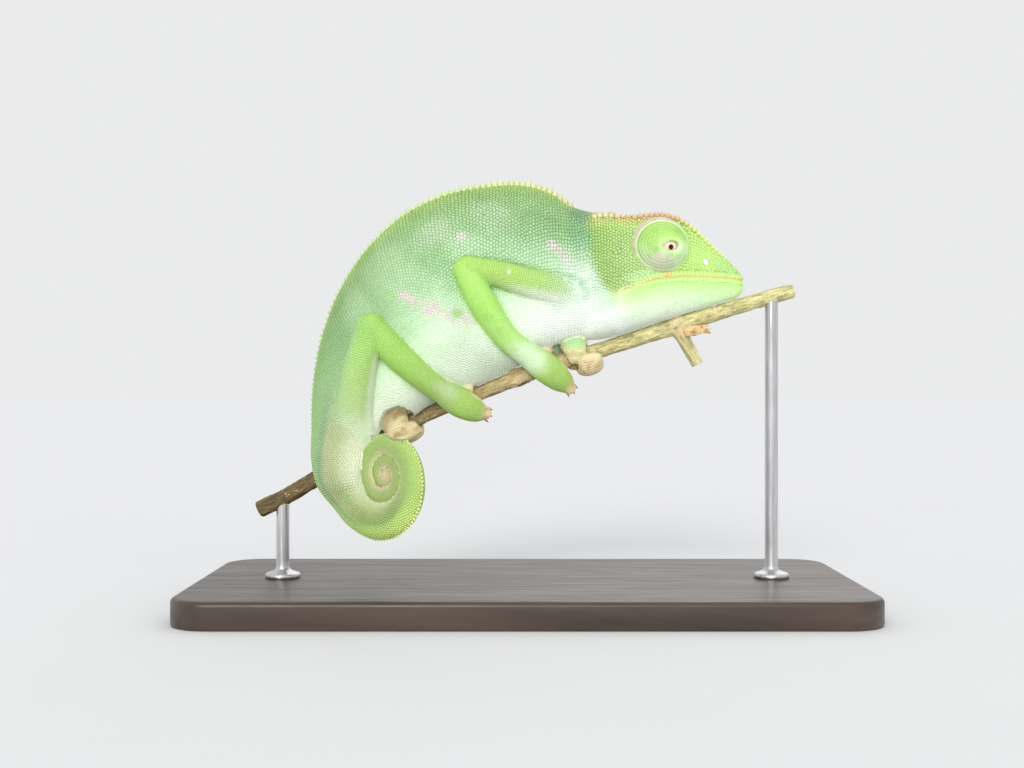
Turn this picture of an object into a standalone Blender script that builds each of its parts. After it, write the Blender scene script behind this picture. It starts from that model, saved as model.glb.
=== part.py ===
"""A life-size museum model of a green chameleon (genus Chamaeleo) gripping a short cut
length of twig, held by two rods over a flat base.

Frame: metres, +Z up, origin in the middle of the underside of the base. The animal looks
towards +X, its right side is at -Y. Sizes below are in millimetres.
"""
import math

import bmesh
import bpy
import numpy as np
from mathutils import Vector

MM = 0.001
GAP = 0.3            # clearance between neighbouring solids

# ---------------------------------------------------------------- driving sizes
BASE_LENGTH, BASE_DEPTH, BASE_HEIGHT = 150.0, 72.0, 6.0
BASE_CORNER, BASE_EDGE = 9.0, 1.0
ROD_RADIUS, ROD_COLLAR_RADIUS, ROD_COLLAR_HEIGHT = 1.5, 4.0, 1.6
ROD_X = (-56.0, 56.5)

TWIG = [  # x, y, z, radius
    (-61.5, 0.6, 21.6, 2.0), (-55.4, 0.4, 24.6, 1.95), (-49.2, 0.2, 28.3, 1.9), (-40.5, 0, 33.9, 1.85),
    (-29.0, 0, 40.65, 1.8), (-19.8, 0, 44.95, 1.75), (-10.6, 0, 48.5, 1.75), (-1.4, 0, 52.3, 1.85),
    (7.8, 0, 55.5, 1.8), (17.0, 0, 58.4, 1.85), (26.2, 0, 61.3, 1.9), (35.4, 0, 64.2, 1.95),
    (44.6, 0, 67.2, 1.9), (53.8, 0.2, 69.9, 1.8), (61.5, 0.4, 72.1, 1.75)]

# Spine of neck, trunk and tail base: centre x, y, z; lean of the dorsal direction in
# degrees; turn of the body about the vertical; half height; half width; how sharp the
# back is; how far the flank's widest line sits below the middle.
SPINE = [
    (22.5, 0.0, 77.0, 99, 0, 13.4, 6.2, 0.25, 0.10),
    (17.0, 0.0, 75.8, 97, 0, 14.6, 7.2, 0.30, 0.10),
    (11.5, 0.0, 76.3, 93.5, 0, 15.3, 8.1, 0.38, 0.12),
    (5.8, 0.0, 76.9, 91, 0, 17.9, 9.4, 0.50, 0.14),
    (-1.4, 0.0, 75.6, 90, 0, 21.0, 10.8, 0.55, 0.16),
    (-9.1, 0.0, 73.6, 91, 0, 22.6, 11.7, 0.55, 0.18),
    (-16.3, -0.2, 71.6, 95.5, 0, 22.8, 12.1, 0.55, 0.18),
    (-23.2, -0.7, 68.4, 102, 0, 21.9, 12.0, 0.55, 0.18),
    (-29.1, -1.6, 63.9, 109.5, 0, 19.8, 11.4, 0.55, 0.16),
    (-33.9, -2.8, 58.2, 118, 2, 17.2, 10.3, 0.55, 0.12),
    (-37.8, -3.4, 52.5, 130, 6, 13.3, 8.6, 0.50, 0.04),
    (-40.3, -4.9, 45.9, 147, 13, 10.0, 7.2, 0.42, 0.0),
    (-41.7, -6.3, 39.0, 167, 20, 7.6, 5.7, 0.35, 0.0),
    (-42.7, -7.0, 33.3, 179, 27, 6.6, 4.6, 0.30, 0.0),
    (-42.35, -6.55, 28.15, 191, 33, 5.65, 4.1, 0.28, 0.0)]
# The tail's coil, turn by turn: each turn lies on the one inside it.
COIL_CENTRE = (-31.0, -13.5, 30.7)
COIL_TURN = 42.0                     # of its plane about the vertical, degrees
COIL_RADIUS = {210: 12.95, 240: 11.6, 270: 10.6, 315: 9.6, 360: 8.7, 405: 7.9, 450: 7.1, 495: 6.45, 540: 5.95, 585: 5.45}
COIL_HEIGHT = {210: 4.95, 240: 4.3, 270: 3.9, 315: 3.4, 360: 2.9, 405: 2.5, 450: 2.15, 495: 1.93, 540: 1.78, 630: 1.55,
               720: 1.38, 810: 1.24, 900: 1.12, 990: 1.0, 1080: 0.88, 1170: 0.74, 1260: 0.58, 1320: 0.45}
COIL_END = 1290

# Head, by cross sections from the nape to the snout. All half widths and heights.
#  x   z_mid z_crest w_crest z_temple w_temple z_cheek w_cheek z_lip w_lip z_jaw w_jaw z_chin
HEAD = [
    (11.0, 86.6, 85.9, 2.2, 82.0, 4.2, 76.0, 5.4, 69.0, 5.2, 65.6, 4.4, 61.3),
    (15.2, 89.2, 89.0, 3.5, 84.6, 6.0, 77.0, 7.7, 69.6, 7.5, 64.8, 6.2, 60.5),
    (19.8, 89.2, 89.1, 4.9, 84.8, 7.0, 77.0, 8.8, 70.8, 8.4, 65.3, 6.9, 61.1),
    (25.0, 88.3, 88.9, 6.0, 84.4, 7.2, 77.2, 8.8, 72.85, 8.5, 66.6, 6.8, 62.7),
    (30.0, 88.0, 89.2, 6.5, 83.4, 6.3, 77.2, 7.7, 74.15, 8.0, 67.9, 6.3, 64.25),
    (34.5, 86.9, 88.1, 6.1, 82.4, 5.5, 77.6, 6.8, 74.6, 7.1, 69.1, 5.5, 65.7),
    (38.5, 84.6, 85.6, 4.9, 81.4, 4.8, 77.8, 5.9, 74.65, 6.2, 69.9, 4.7, 67.0),
    (42.5, 81.3, 82.0, 3.9, 79.8, 4.3, 77.4, 5.0, 74.55, 5.2, 70.6, 3.9, 68.25),
    (46.1, 78.7, 79.0, 2.8, 77.8, 3.4, 76.4, 3.9, 74.4, 4.1, 71.2, 3.0, 69.45),
    (48.8, 76.2, 76.3, 1.8, 75.9, 2.2, 75.4, 2.6, 74.2, 2.9, 71.8, 2.2, 70.55),
    (50.3, 74.7, 74.7, 0.7, 74.55, 0.9, 74.4, 1.1, 74.1, 1.3, 72.9, 1.0, 72.2)]
JAW_HINGE_X = 17.0
HEAD_SEAM = ((15.2, 90.0), (19.0, 62.0))     # x, z of the nape and of the throat

# Eye turret: centre, axis, and its turned profile (radius, height along the axis).
TURRET_CENTRE, TURRET_AXIS = (30.0, 4.8, 81.7), (0.31, 0.95, -0.05)
TURRET = [(0.0, -4.0), (4.9, -3.6), (6.5, -1.6), (6.75, 0.0), (6.6, 1.5), (6.0, 3.1), (5.0, 4.5), (3.8, 5.5),
          (2.7, 6.15), (2.05, 6.4), (1.7, 6.2), (1.6, 5.0), (0.0, 5.0)]
EYE = [(0.0, 5.3), (1.15, 5.3), (1.3, 5.45), (1.15, 5.85), (0.65, 6.08), (0.0, 6.15)]

# Limbs: x, y, z, half width, half thickness.
ARM_R = [(15.0, -2.0, 70.3, 5.0, 3.6), (8.6, -6.6, 71.5, 4.3, 3.5), (0.6, -10.3, 73.2, 3.5, 3.1),
         (-6.8, -12.2, 75.2, 3.15, 2.9), (-13.3, -13.2, 76.4, 2.95, 2.8)]
FOREARM_R = [(-13.5, -13.2, 76.0, 3.0, 2.8), (-10.1, -12.4, 69.3, 3.25, 2.8), (-7.3, -11.0, 64.7, 3.1, 2.7),
             (-3.9, -8.9, 60.4, 2.95, 2.6), (0.2, -6.3, 57.3, 3.0, 2.5), (3.2, -5.2, 55.4, 3.2, 2.4)]
THIGH_R = [(-37.0, -6.5, 37.5, 4.4, 4.2), (-38.3, -9.6, 43.4, 4.4, 4.0), (-37.5, -12.2, 50.6, 4.0, 3.6),
           (-35.7, -14.4, 58.2, 3.6, 3.1), (-34.3, -15.2, 63.4, 3.35, 2.9)]
SHANK_R = [(-34.3, -15.2, 63.4, 3.35, 2.9), (-30.6, -14.3, 59.1, 3.35, 2.9), (-26.8, -12.5, 55.3, 3.25, 2.8),
           (-22.9, -9.9, 51.9, 3.0, 2.6), (-18.9, -6.6, 48.8, 2.9, 2.4), (-16.2, -5.2, 47.4, 3.1, 2.3)]
ARM_L = [(15.0, 2.0, 70.3, 5.0, 3.6), (8.8, 6.6, 71.2, 4.3, 3.5), (2.4, 10.2, 72.2, 3.5, 3.1),
         (-2.6, 12.4, 73.0, 3.15, 2.9), (-7.4, 13.6, 73.6, 2.95, 2.8)]
FOREARM_L = [(-7.4, 13.6, 73.4, 3.0, 2.8), (-2.6, 12.7, 68.0, 3.2, 2.7), (2.0, 11.0, 63.7, 3.0, 2.6),
             (6.2, 8.8, 60.4, 2.8, 2.4), (9.8, 6.2, 58.2, 2.7, 2.3), (12.2, 4.2, 57.2, 2.7, 2.2)]
THIGH_L = [(-38.5, -3.5, 43.5, 4.0, 3.4), (-35.3, 2.6, 45.9, 4.1, 3.6), (-29.5, 9.6, 49.8, 3.9, 3.5),
           (-23.5, 14.2, 53.6, 3.5, 3.0), (-18.0, 16.8, 56.4, 3.3, 2.9)]
SHANK_L = [(-18.0, 16.8, 56.4, 3.3, 2.9), (-20.2, 14.4, 52.0, 3.3, 2.8), (-23.0, 11.0, 47.8, 3.1, 2.7),
           (-26.2, 7.2, 44.2, 2.8, 2.4), (-29.0, 4.4, 41.8, 2.7, 2.2), (-30.2, 3.2, 40.9, 2.7, 2.1)]

# Hands and feet are tongs of fused toes. An outer mitt is given like a limb; a wrapped
# bundle by place on the twig (x), angle round it at start and end (0 on top, 90 on the
# -Y side), distance from its axis, half width along it, half thickness, and how much it
# narrows towards its tip.
MITT_FR = [(0.4, -6.2, 57.2, 3.0, 2.5), (3.2, -4.9, 55.2, 3.5, 2.45), (6.2, -4.2, 52.9, 3.4, 2.3),
           (8.6, -3.3, 50.9, 2.7, 2.0), (10.0, -2.4, 49.6, 1.6, 1.5)]
MITT_HR = [(-18.9, -6.6, 48.9, 2.9, 2.5), (-16.2, -4.9, 47.1, 3.5, 2.45), (-13.2, -4.2, 45.5, 3.4, 2.3),
           (-10.9, -3.5, 44.4, 2.7, 2.0), (-9.3, -2.7, 43.9, 1.7, 1.5)]
WRAPS = {
    "fr": [(4.0, 6.6, 62, -62, 3.5, 2.2, 1.65)],
    "hr": [(-13.4, -11.6, 62, -62, 3.2, 2.1, 1.6)],
    "fl": [(12.1, 11.6, -112, 98, 3.2, 3.3, 1.6, 0.12), (13.6, 14.2, -104, -250, 3.4, 3.2, 1.8, 0.05)],
    "hl": [(-29.2, -30.9, -112, 100, 2.95, 3.4, 1.35, 0.20), (-27.2, -28.0, -104, -250, 3.05, 3.2, 1.6, 0.0)]}
# The left foot's toes show in a hollow of the belly: middle (x, z), half sizes and tilt.
FOOT_POCKET = ((-29.4, 41.2), (4.1, 3.7), 24.0)
CLAW_LENGTH, CLAW_RADIUS = 1.5, 0.38

CREST_PITCH, CREST_HEIGHT, CREST_WIDTH = 1.32, 1.15, 0.55   # spines along the back


# ---------------------------------------------------------------- curves and lofts
class Track:
    """A smooth curve through rows (x, y, z, sizes...), read by distance along it."""

    def __init__(self, rows):
        self.k = np.array(rows, float)
        step = np.linalg.norm(np.diff(self.k[:, :3], axis=0), axis=1)
        self.s = np.concatenate([[0.0], np.cumsum(step)])
        slope = np.diff(self.k, axis=0) / step[:, None]
        m = np.empty_like(self.k)
        m[0], m[-1] = slope[0], slope[-1]
        a, b = step[:-1, None], step[1:, None]
        m[1:-1] = (slope[:-1] * b + slope[1:] * a) / (a + b)
        self.m = m
        self.length = float(self.s[-1])

    def at(self, s):
        s = np.clip(np.atleast_1d(np.asarray(s, float)), 0, self.length)
        i = np.clip(np.searchsorted(self.s, s, side="right") - 1, 0, len(self.s) - 2)
        h = (self.s[i + 1] - self.s[i])[:, None]
        t = (s - self.s[i])[:, None] / h
        return ((2 * t**3 - 3 * t**2 + 1) * self.k[i] + (t**3 - 2 * t**2 + t) * h * self.m[i]
                + (3 * t**2 - 2 * t**3) * self.k[i + 1] + (t**3 - t**2) * h * self.m[i + 1])

    def tangent(self, s):
        d = self.at(np.asarray(s) + 0.05)[:, :3] - self.at(np.asarray(s) - 0.05)[:, :3]
        return d / np.maximum(np.linalg.norm(d, axis=1, keepdims=True), 1e-9)


def unit(v):
    return v / np.maximum(np.linalg.norm(v, axis=-1, keepdims=True), 1e-12)


def table(sizes, at):
    keys = sorted(sizes)
    return float(np.interp(at, keys, [sizes[k] for k in keys]))


def coil_rows(gap=GAP, step=15):
    """Rows like SPINE's for the coil, from its outer turn to the tip of the tail."""
    radius, rows = {}, []
    cx, cy, cz = COIL_CENTRE
    turn = math.radians(COIL_TURN)
    for a in range(210, COIL_END + 1, step):
        h = table(COIL_HEIGHT, a)
        if a <= 570:
            r = table(COIL_RADIUS, a)
        else:
            r = radius[a - 360] - table(COIL_HEIGHT, a - 360) - h - gap
        radius[a] = r
        c, s = r * math.cos(math.radians(a)), r * math.sin(math.radians(a))
        lean = COIL_TURN - max(0, 270 - a) * 0.11
        ridge = 0.28 if a < 600 else 0.15
        rows.append((cx + c * math.cos(turn), cy - c * math.sin(turn), cz + s, a, lean, h,
                     h * (0.86 if a > 400 else 0.84), ridge, 0.0))
    return rows


def spine_track():
    return Track(SPINE + coil_rows())


def spine_rings(track, s, around, grow=0.0):
    r = track.at(s)
    beta, turn = np.radians(r[:, 3]), np.radians(r[:, 4])
    zero = np.zeros(len(r))
    e1 = np.stack([np.cos(turn), -np.sin(turn), zero], 1)
    side = np.stack([-np.sin(turn), -np.cos(turn), zero], 1)
    up = np.cos(beta)[:, None] * e1 + np.sin(beta)[:, None] * np.array([0, 0, 1.0])
    a = np.arange(around) * 2 * math.pi / around
    c, n = np.cos(a), np.sin(a)
    sharp = 1 + r[:, 7:8] * np.clip(c, 0, 1)[None] ** 1.5 + 0.45 * r[:, 7:8] * np.clip(-c, 0, 1)[None] ** 2
    wide = (r[:, 6:7] + grow) * np.sign(n) * np.abs(n)[None] ** sharp * (1 - r[:, 8:9] * c[None])
    high = (r[:, 5:6] + grow) * c[None]
    return r[:, None, :3] + high[..., None] * up[:, None] + wide[..., None] * side[:, None]


def limb_rings(rows, n, around, grow=0.0, thin=(0.0, -1.0, 0.0)):
    """Elliptical sections; the thin axis points to 'thin', one direction or one a ring."""
    t = Track(rows)
    s = np.linspace(0, t.length, n)
    r, along = t.at(s), t.tangent(s)
    thin = np.broadcast_to(np.array(thin, float), along.shape)
    thin = unit(thin - (thin * along).sum(1, keepdims=True) * along)
    wide = np.cross(thin, along)
    a = np.arange(around) * 2 * math.pi / around
    return (r[:, None, :3] + (r[:, 3:4] + grow)[..., None] * np.cos(a)[None, :, None] * wide[:, None]
            + (r[:, 4:5] + grow)[..., None] * np.sin(a)[None, :, None] * thin[:, None])


def twig_frame(x):
    """Centre, direction, upward normal and radius of the twig at x."""
    keys = np.array(TWIG)
    t = Track(TWIG)
    s = float(np.interp(x, keys[:, 0], t.s))
    row, along = t.at(s)[0], t.tangent(np.array([s]))[0]
    up = unit(np.array([0, 0, 1.0]) - along[2] * along)
    return row[:3], along, up, row[3]


def wrap_rows(x0, x1, a0, a1, rho, wide, thick, narrows=0.42, n=9):
    """Rows of a bundle of toes that goes round the twig, and the thin direction of each."""
    rows, thin = [], []
    for i in range(n):
        f = i / (n - 1)
        a = math.radians(a0 + (a1 - a0) * f)
        c, along, up, _ = twig_frame(x0 + (x1 - x0) * f)
        near = np.cross(along, up)           # points to -Y
        out = math.cos(a) * up + math.sin(a) * near
        taper = 1 - narrows * max(0.0, (f - 0.45) / 0.55) ** 1.6
        slim = 1 - 0.3 * max(0.0, (f - 0.45) / 0.55) ** 1.6
        rows.append((*(c + (rho - (1 - slim) * thick) * out), wide * taper, thick * slim))
        thin.append(out)
    return rows, np.array(thin)


def wrap_rings(spec, n, around, grow=0.0):
    rows, thin = wrap_rows(*spec, n=n)
    return limb_rings(rows, n, around, grow, thin)


def rounded(rings, first=True, last=True, steps=2):
    """Adds shrinking rings so that an end is a rounded tip instead of a flat cut."""
    def tip(ring, out):
        c = ring.mean(0)
        size = np.linalg.norm(ring - c, axis=1).min()
        return [c + (ring - c) * math.cos(k * math.pi / 2 / (steps + 0.35)) + out * size * math.sin(k * math.pi / 2 / (steps + 0.35))
                for k in range(1, steps + 1)]
    out = list(rings)
    if last:
        out += tip(rings[-1], unit(rings[-1].mean(0) - rings[-2].mean(0)))
    if first:
        out = tip(rings[0], unit(rings[0].mean(0) - rings[1].mean(0)))[::-1] + out
    return np.array(out)


def head_profile(row, part, grow=0.0):
    """Closed cross section (y, z) of the head: whole, upper head or lower jaw."""
    x, zm, zc, wc, zt, wt, zk, wk, zl, wl, zj, wj, zb = row
    top = [(0, zm), (0.55 * wc, 0.5 * (zm + zc)), (wc * 0.93, zc + 0.02), (wc, zc - 0.5), (0.35 * wc + 0.65 * wt, 0.45 * zc + 0.55 * zt),
           (wt, zt), (0.5 * (wt + wk), 0.5 * (zt + zk)), (wk, zk), (wl, min(zl + 1.0, 0.5 * (zl + zk)))]
    low = [(wl * 0.97, zl - 0.25 * (zl - zj)), (0.45 * wl + 0.55 * wj, 0.35 * zl + 0.65 * zj), (wj, zj),
           (0.72 * wj, 0.42 * zj + 0.58 * zb), (0.38 * wj, 0.12 * zj + 0.88 * zb), (0, zb)]
    lip = min(0.15, 0.2 * wl)
    if part == "upper":
        half = top + [(wl - 0.3, zl + lip), (0.5 * wl, zl + lip), (0, zl + lip)]
    elif part == "lower":
        half = [(0, zl - lip), (0.5 * wl, zl - lip), (wl - 0.3, zl - lip)] + low
    else:
        half = top + [(wl - 0.1, zl)] + low
    half = np.array(half, float)
    full = np.concatenate([half, half[-2:0:-1] * [-1, 1]])
    if grow:
        d = np.roll(full, -1, 0) - np.roll(full, 1, 0)
        n = unit(np.stack([d[:, 1], -d[:, 0]], 1))
        if (n * (full - full.mean(0))).sum() < 0:
            n = -n
        full = full + n * grow
    return full


def head_rings(part, n, x0=None, x1=None, grow=0.0):
    keys = np.array(HEAD)
    rows3 = np.concatenate([keys[:, :1], np.zeros((len(keys), 2)), keys[:, 1:]], axis=1)
    t = Track(rows3)
    x0 = keys[0, 0] if x0 is None else x0
    x1 = keys[-1, 0] if x1 is None else x1
    u = np.linspace(0, 1, n)
    xs = x0 + (x1 - x0) * (1 - (1 - u) ** 1.25)
    rings = []
    for x in xs:
        r = t.at(np.interp(x, keys[:, 0], t.s))[0]
        p = head_profile((x, *r[3:]), part, grow)
        rings.append(np.stack([np.full(len(p), x), p[:, 0], p[:, 1]], 1))
    rings = np.array(rings)
    if grow:
        rings[0, :, 0] -= grow
        rings[-1, :, 0] += grow
    return rings


# ---------------------------------------------------------------- Blender objects
def material(name, colour, roughness=0.6, metallic=0.0):
    m = bpy.data.materials.get(name) or bpy.data.materials.new(name)
    m.use_nodes = True
    b = m.node_tree.nodes["Principled BSDF"]
    b.inputs["Base Color"].default_value = (*colour, 1)
    b.inputs["Roughness"].default_value = roughness
    b.inputs["Metallic"].default_value = metallic
    return m


def add_object(name, points, faces, mat=None, cutter=False):
    mesh = bpy.data.meshes.new(name)
    mesh.from_pydata([tuple(p) for p in np.asarray(points, float) * MM], [], faces)
    bm = bmesh.new()
    bm.from_mesh(mesh)
    bmesh.ops.recalc_face_normals(bm, faces=bm.faces)
    if bm.calc_volume(signed=True) < 0:
        bmesh.ops.reverse_faces(bm, faces=bm.faces)
    bm.to_mesh(mesh)
    bm.free()
    obj = bpy.data.objects.new(name, mesh)
    bpy.context.scene.collection.objects.link(obj)
    mesh.shade_smooth()
    mesh.set_sharp_from_angle(angle=math.radians(50))
    if mat:
        mesh.materials.append(mat)
    if cutter:
        obj.hide_render = True
        obj.display_type = "WIRE"
    return obj


def loft(name, rings, mat=None, cutter=False):
    """A closed skin over rings of equal count, with flat ends."""
    n, m = rings.shape[:2]
    pts = rings.reshape(-1, 3)
    faces = [(i * m + j, i * m + (j + 1) % m, (i + 1) * m + (j + 1) % m, (i + 1) * m + j)
             for i in range(n - 1) for j in range(m)]
    faces += [tuple(range(m)), tuple(range((n - 1) * m, n * m))]
    return add_object(name, pts, faces, mat, cutter)


def turned(name, profile, centre, axis, around, mat=None, cutter=False, grow=0.0):
    """A solid turned about an axis; the profile starts and ends on it."""
    centre, axis = np.array(centre, float), unit(np.array(axis, float))
    u = unit(np.cross(axis, [0, 0, 1.0] if abs(axis[2]) < 0.9 else [0, 1.0, 0]))
    v = np.cross(u, axis)
    prof = np.array(profile, float)
    pts = [centre + axis * prof[0, 1]]
    rings = []
    for r, d in prof[1:-1]:
        rings.append(range(len(pts), len(pts) + around))
        for k in range(around):
            a = 2 * math.pi * k / around
            pts.append(centre + axis * d + (r + grow) * (math.cos(a) * u + math.sin(a) * v))
    pts.append(centre + axis * prof[-1, 1])
    faces = []
    for k in range(around):
        k1 = (k + 1) % around
        faces.append((0, rings[0][k], rings[0][k1]))
        faces.append((len(pts) - 1, rings[-1][k1], rings[-1][k]))
        for a, b in zip(rings[:-1], rings[1:]):
            faces.append((a[k], b[k], b[k1], a[k1]))
    return add_object(name, pts, faces, mat, cutter)


def boolean(obj, other, operation):
    m = obj.modifiers.new(operation.lower() + "_" + other.name, "BOOLEAN")
    m.object, m.operation, m.solver = other, operation, "EXACT"
    return obj


def trim(obj, point, normal):
    """Cuts a solid by a plane and keeps the side that the normal points away from."""
    bm = bmesh.new()
    bm.from_mesh(obj.data)
    geom = bm.verts[:] + bm.edges[:] + bm.faces[:]
    bmesh.ops.bisect_plane(bm, geom=geom, dist=1e-7, plane_co=Vector(point) * MM, plane_no=Vector(normal), clear_outer=True)
    edges = [e for e in bm.edges if e.is_boundary]
    bmesh.ops.holes_fill(bm, edges=edges, sides=0)
    bmesh.ops.recalc_face_normals(bm, faces=bm.faces)
    bm.to_mesh(obj.data)
    bm.free()
    return obj


def settle(obj):
    """Applies an object's modifiers and keeps its largest body, dropping offcuts."""
    graph = bpy.context.evaluated_depsgraph_get()
    done = bpy.data.meshes.new_from_object(obj.evaluated_get(graph))
    obj.modifiers.clear()
    obj.data = done
    bm = bmesh.new()
    bm.from_mesh(done)
    bm.faces.ensure_lookup_table()
    seen, bodies = set(), []
    for face in bm.faces:
        if face.index in seen:
            continue
        body, stack = [], [face]
        seen.add(face.index)
        while stack:
            f = stack.pop()
            body.append(f)
            for e in f.edges:
                for g in e.link_faces:
                    if g.index not in seen:
                        seen.add(g.index)
                        stack.append(g)
        size = sum((f.calc_center_median().dot(f.normal)) * f.calc_area() for f in body)
        bodies.append((abs(size), body))
    bodies.sort(key=lambda b: b[0])
    offcuts = [f for _, body in bodies[:-1] for f in body]
    if offcuts:
        bmesh.ops.delete(bm, geom=offcuts, context="FACES")
        bm.to_mesh(done)
    bm.free()
    return obj


def claws_of(rings, count, spread, outward):
    """Cones at the end of a bundle: where each starts and which way it points."""
    end, before = rings[-1], rings[-2]
    c = end.mean(0)
    along = unit(c - before.mean(0))
    wide = end[0] - c
    found = []
    for k in range(count):
        f = 0.0 if count == 1 else (k / (count - 1) - 0.5) * 2
        start = c + wide * f * spread - along * 0.25
        found.append((start, unit(along + wide / np.linalg.norm(wide) * f * 0.22 + outward)))
    return found


def claw(name, start, direction, cutter=True):
    profile = [(0, -0.7), (CLAW_RADIUS, -0.5), (CLAW_RADIUS * 0.8, 0.45 * CLAW_LENGTH), (0, CLAW_LENGTH)]
    return turned(name, profile, start, direction, 5, cutter=cutter)


# ---------------------------------------------------------------- build
def clear_scene():
    for o in list(bpy.data.objects):
        bpy.data.objects.remove(o)


def build():
    clear_scene()
    green = material("skin_green", (0.36, 0.62, 0.20), 0.55)
    pale = material("skin_pale", (0.66, 0.80, 0.55), 0.55)
    tan = material("skin_tan", (0.62, 0.47, 0.28), 0.6)
    iris = material("eye", (0.45, 0.30, 0.20), 0.15)
    bark = material("bark", (0.30, 0.24, 0.11), 0.85)
    board = material("base_board", (0.06, 0.055, 0.05), 0.4)
    steel = material("rod_steel", (0.62, 0.62, 0.62), 0.3, 1.0)

    # -- the twig, with a short stub of a side shoot
    twig_track = Track(TWIG)
    twig_s = np.linspace(0, twig_track.length, 21)
    rows = twig_track.at(twig_s)
    rows4 = [(*r[:3], r[3], r[3]) for r in rows]
    twig = loft("perch_twig", limb_rings(rows4, 21, 8), bark)
    c, along, up, rad = twig_frame(34.6)
    stub_dir = unit(along * 0.16 - up * 0.8)
    stub = [(*(c + stub_dir * d), q, q) for d, q in ((0.0, 1.6), (3.0, 1.35), (7.5, 1.15), (10.0, 1.1))]
    boolean(twig, loft("cut_stub", limb_rings(stub, 3, 7), cutter=True), "UNION")
    c, along, up, rad = twig_frame(-1.6)
    knot = [(*(c + along * d), q, q) for d, q in ((-3.4, 1.2), (-1.8, 2.1), (0.0, 2.45), (1.6, 2.2), (3.2, 1.2))]
    boolean(twig, loft("cut_knot", limb_rings(knot, 5, 7), cutter=True), "UNION")
    twig_cut = loft("cut_twig", limb_rings([(r[0], r[1], r[2], r[3] + GAP + 0.05, r[3] + GAP + 0.05) for r in rows], 24, 8), cutter=True)
    knot_cut = loft("cut_knot_room", limb_rings([(*k[:3], k[3] + GAP, k[4] + GAP) for k in knot], 7, 10), cutter=True)

    # -- spine solids
    track = spine_track()
    s = track.s
    n_spine = len(SPINE)
    neck_s, rump_s = s[3] - 2.0, s[11] + 1.0          # where neck, trunk and tail meet
    tail_1, tail_2 = s[n_spine + 3], s[n_spine + 12]  # the tail's three lengths

    neck = loft("neck", spine_rings(track, np.linspace(0, neck_s - GAP / 2, 6), 20), green)
    trunk_stations = np.linspace(neck_s + GAP / 2, rump_s - GAP / 2, 16)
    trunk = loft("trunk", spine_rings(track, trunk_stations, 22), green)
    tail_a = loft("tail_base", spine_rings(track, np.linspace(rump_s + GAP / 2, tail_1 - GAP / 2, 10), 16), green)
    tail_b = loft("tail_middle", spine_rings(track, np.linspace(tail_1 + GAP / 2, tail_2 - GAP / 2, 17), 10), green)
    rest = tail_2 + GAP / 2 + (track.length - tail_2 - GAP / 2) * np.linspace(0, 1, 37) ** 0.92
    tail_c = loft("tail_coil", rounded(spine_rings(track, rest, 7), False, True, 1), green)
    trunk_cut = loft("cut_trunk", spine_rings(track, np.linspace(0, rump_s + 6, 18), 18, GAP + 0.05), cutter=True)
    tail_cut = loft("cut_tail", spine_rings(track, np.linspace(rump_s, tail_1, 10), 18, GAP), cutter=True)
    outer_turn = rest[rest < s[n_spine + 32]]         # the turn that the tail's base lies against
    coil_cut = loft("cut_coil", spine_rings(track, outer_turn, 7, GAP + 0.05), cutter=True)
    boolean(tail_a, coil_cut, "DIFFERENCE")

    # the row of conical scales along the back
    for obj, first, last in ((neck, s[2] + 0.4, neck_s - 1.0), (trunk, neck_s + 1.0, rump_s - 1.0)):
        pts, faces = [], []
        for at in np.arange(first, last, CREST_PITCH):
            f = max(0.0, (at - neck_s) / (rump_s - neck_s))
            high = CREST_HEIGHT * (1 - 0.62 * f) * (0.75 if obj is neck else 1.0)
            ring = spine_rings(track, np.array([at - 0.62, at, at + 0.62]), 4)
            mid = ring[1, 0]
            out = unit(mid - track.at(at)[0, :3])
            fore = unit(ring[2, 0] - ring[0, 0])
            side = np.cross(out, fore)
            k = len(pts)
            pts += [mid - out * 0.9 + fore * 0.62 * a + side * CREST_WIDTH * b for a, b in ((-1, 0), (0, -1), (1, 0), (0, 1))]
            pts.append(mid + out * high + fore * 0.25)
            faces += [(k + 3, k + 2, k + 1, k)] + [(k + i, k + (i + 1) % 4, k + 4) for i in range(4)]
        boolean(obj, add_object("cut_crest_" + obj.name, pts, faces, cutter=True), "UNION")

    # -- head
    head = loft("head", head_rings("upper", 13), green)
    jaw = loft("lower_jaw", head_rings("lower", 10, x0=JAW_HINGE_X), pale)
    head_cut = loft("cut_head", head_rings("upper", 14, grow=GAP), cutter=True)
    for side, sign in (("right", -1), ("left", 1)):
        centre = (TURRET_CENTRE[0], sign * TURRET_CENTRE[1], TURRET_CENTRE[2])
        axis = (TURRET_AXIS[0], sign * TURRET_AXIS[1], TURRET_AXIS[2])
        t = turned("eye_turret_" + side, TURRET, centre, axis, 14, green)
        boolean(t, head_cut, "DIFFERENCE")
        turned("eyeball_" + side, EYE, centre, axis, 10, iris)
    nape, throat = np.array(HEAD_SEAM)
    lie = unit(np.array([nape[1] - throat[1], 0, throat[0] - nape[0]]))     # towards the snout
    cut_at = np.array([nape[0], 0, nape[1]])
    trim(neck, cut_at - lie * GAP / 2, lie)
    trim(head, cut_at + lie * GAP / 2, -lie)
    trim(jaw, cut_at + lie * GAP / 2, -lie)

    # -- limbs
    def bend(upper, lower):
        """Plane that parts two folded lengths of a limb, through their shared joint."""
        a = unit(np.array(upper[-2][:3]) - np.array(upper[-1][:3]))
        b = unit(np.array(lower[1][:3]) - np.array(lower[0][:3]))
        return (np.array(upper[-1][:3]) + np.array(lower[0][:3])) / 2, unit(b - a)

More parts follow.
